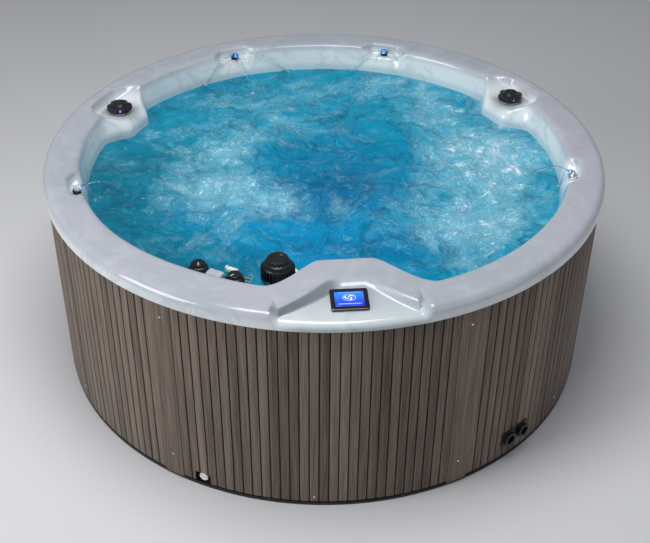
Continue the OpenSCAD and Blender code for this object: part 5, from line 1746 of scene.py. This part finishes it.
def sawnTimber():
    # the grain runs along each post, so it is drawn in stretched space
    finish = Finish("sawnTimber", Specular_IOR_Level=0.3)
    rings = finish.maths("FRACT", finish.cloud(1.6, 3, 0.5, 0.6, finish.stretched((9, 9, 1))) * 9)
    late = finish.band(finish.maths("ABSOLUTE", rings - 0.5), 0.3, 0.46)
    fibre = finish.cloud(26, 5, 0.7, where=finish.stretched((6, 6, 1)))
    knots = 1 - finish.band(finish.cells(4.5, finish.stretched((1, 1, 0.5))), 0.02, 0.07)
    base = finish.layered(tint(201, 170, 124), (late * 0.55, tint(158, 116, 72)),
                          (finish.band(fibre, 0.5, 0.7) * 0.35, tint(176, 140, 96)),
                          (knots * 0.8, tint(96, 62, 38)))
    finish.give(Base_Color=base, Roughness=fibre * 0.16 + 0.62,
                Normal=finish.bump(fibre + late * 0.2, 0.0005, 0.6))
    return finish


def foamBlock():
    # rigid foam: a cut face with open cells and a yellowed skin
    finish = Finish("foamBlock", Specular_IOR_Level=0.2)
    beads = finish.cells(260)
    lumps = finish.cloud(9, 5, 0.6)
    base = finish.layered(tint(226, 218, 188), (finish.band(lumps, 0.4, 0.65), tint(206, 190, 148)),
                          ((1 - finish.band(beads, 0.1, 0.34)) * 0.35, tint(178, 160, 118)))
    finish.give(Base_Color=base, Roughness=lumps * 0.1 + 0.8,
                Normal=finish.bump(beads + lumps * 2, 0.0014, 0.7))
    return finish


def pipePlastic():
    # white pipe: faint flow marks along it, dust, and glue stains
    finish = Finish("pipePlastic", Specular_IOR_Level=0.45)
    flow = finish.cloud(24, 4, 0.6, 0.2, finish.stretched((1, 1, 3)))
    dust = finish.band(finish.cloud(7, 5, 0.6), 0.46, 0.7)
    glue = finish.band(finish.cloud(13, 3, 0.5, 1.0), 0.66, 0.72)
    base = finish.layered(tint(232, 233, 230), (flow * 0.4, tint(216, 219, 220)),
                          (dust * 0.3, tint(196, 192, 182)), (glue * 0.35, tint(150, 176, 200)))
    finish.give(Base_Color=base, Roughness=dust * 0.22 + 0.26, Normal=finish.bump(flow, 0.0003, 0.4))
    return finish


def castPaint(name, colour, chip):
    # thick paint over a casting: orange peel, rubbed and chipped here and there
    finish = Finish(name, Coat_Roughness=0.2)
    peel = finish.cloud(210, 2, 0.5)
    cast = finish.cloud(60, 5, 0.65)
    chips = finish.band(finish.cloud(46, 6, 0.75), 0.66, 0.7)
    dust = finish.band(finish.cloud(8, 5, 0.6), 0.46, 0.72)
    dusty = tuple(c * 0.6 + 0.06 for c in colour[:3]) + (1.0,)
    base = finish.layered(colour, (dust * 0.35, dusty), (chips * 0.8, chip))
    finish.give(Base_Color=base, Roughness=peel * 0.1 + dust * 0.2 + 0.3, Metallic=chips * 0.8,
                Coat_Weight=(1 - dust) * 0.5, Normal=finish.bump(peel * 0.4 + cast, 0.0005, 0.5))
    return finish


def panShell():
    # vacuum-formed tray: a leathery grain and a grey bloom of dust
    finish = Finish("panShell", Specular_IOR_Level=0.4)
    grain = finish.cells(330)
    dust = finish.band(finish.cloud(5, 5, 0.62), 0.44, 0.7)
    scuffs = finish.band(finish.cloud(40, 4, 0.7, where=finish.stretched((1, 1, 8))), 0.64, 0.7)
    base = finish.layered(tint(30, 31, 34), (dust * 0.35, tint(70, 70, 70)),
                          (scuffs * 0.4, tint(104, 104, 104)))
    finish.give(Base_Color=base, Roughness=dust * 0.2 + grain * 0.1 + 0.4,
                Normal=finish.bump(grain, 0.0004, 0.6))
    return finish


for finish, names in (
    (panShell(), ["base_pan"]),
    (foamBlock(), ["well_support"]),
    (sawnTimber(), ["frame_posts", "frame_rings"]),
    (pipePlastic(), ["water_manifold", "air_manifold", "suction_pipes"]),
    (castPaint("motorPaint", tint(46, 66, 92), tint(150, 150, 148)), ["pump_1_motor", "pump_2_motor"]),
    (moulded("pumpHousing", tint(34, 35, 38), 0.38, 0.0003, 260),
     ["pump_1_wet_end", "pump_2_wet_end", "blower_housing"]),
    (moulded("impellerResin", tint(206, 200, 184), 0.42, 0.0002, 300),
     ["pump_1_impeller", "pump_2_impeller", "blower_wheel"]),
    (brushed("heaterTube", tint(172, 176, 180), (1, 30, 1), 0.26), ["heater"]),
    (moulded("boxPlastic", tint(168, 171, 174), 0.44, 0.0003, 260), ["control_box"]),
    (moulded("valveBody", tint(214, 215, 212), 0.36),
     ["diverter_valves", "fountain_housings", "gate_valves"]),
    (moulded("grateResin", tint(198, 202, 206), 0.3), ["suction_covers", "floor_drain"]),
    (castPaint("valveRed", tint(168, 34, 30), tint(190, 120, 110)), ["gate_handle_1", "gate_handle_2"]),
):
    for name in names:
        for slot in nodes[name].material_slots:
            slot.material = finish.material

# Stage: a pale floor and a soft studio. Each lamp: its place, its aim, its size and its power
stage = {
    "floor": tint(222, 222, 224),
    "floorSize": 40,
    "sky": tint(214, 218, 226),
    "skyStrength": 0.34,
    "lamps": {
        "keyLight": ((-4.4, -2.2, 2.6), (0, 0, 0.5), 2.4, 118),
        "fillLight": ((3.4, -3.0, 2.2), (0, 0, 0.4), 3.0, 15),
        "topLight": ((-0.3, -0.7, 3.9), (0, 0.2, 0.6), 1.8, 78),
    },
}


def lamp(name, place, aim, size, power):
    light = bpy.data.lights.new(name, "AREA")
    light.energy = power
    light.size = size
    holder = bpy.data.objects.new(name, light)
    holder.location = place
    holder.rotation_euler = (Vector(aim) - Vector(place)).to_track_quat("-Z", "Y").to_euler()
    bpy.context.scene.collection.objects.link(holder)


def studio():
    deselect()
    bpy.ops.mesh.primitive_plane_add(size=stage["floorSize"], location=(0, 0, -0.0005))
    floor = settle(bpy.context.object, "studioFloor")
    paper = Finish("studioPaper", Roughness=0.75, Specular_IOR_Level=0.2)
    paper.give(Base_Color=stage["floor"])
    finished(floor, paper)
    world = bpy.data.worlds.new("studioAir")
    bpy.context.scene.world = world
    world.use_nodes = True
    air = world.node_tree.nodes["Background"]
    air.inputs["Color"].default_value = stage["sky"]
    air.inputs["Strength"].default_value = stage["skyStrength"]
    for name, values in stage["lamps"].items():
        lamp(name, *values)


print("stage: studio")
studio()
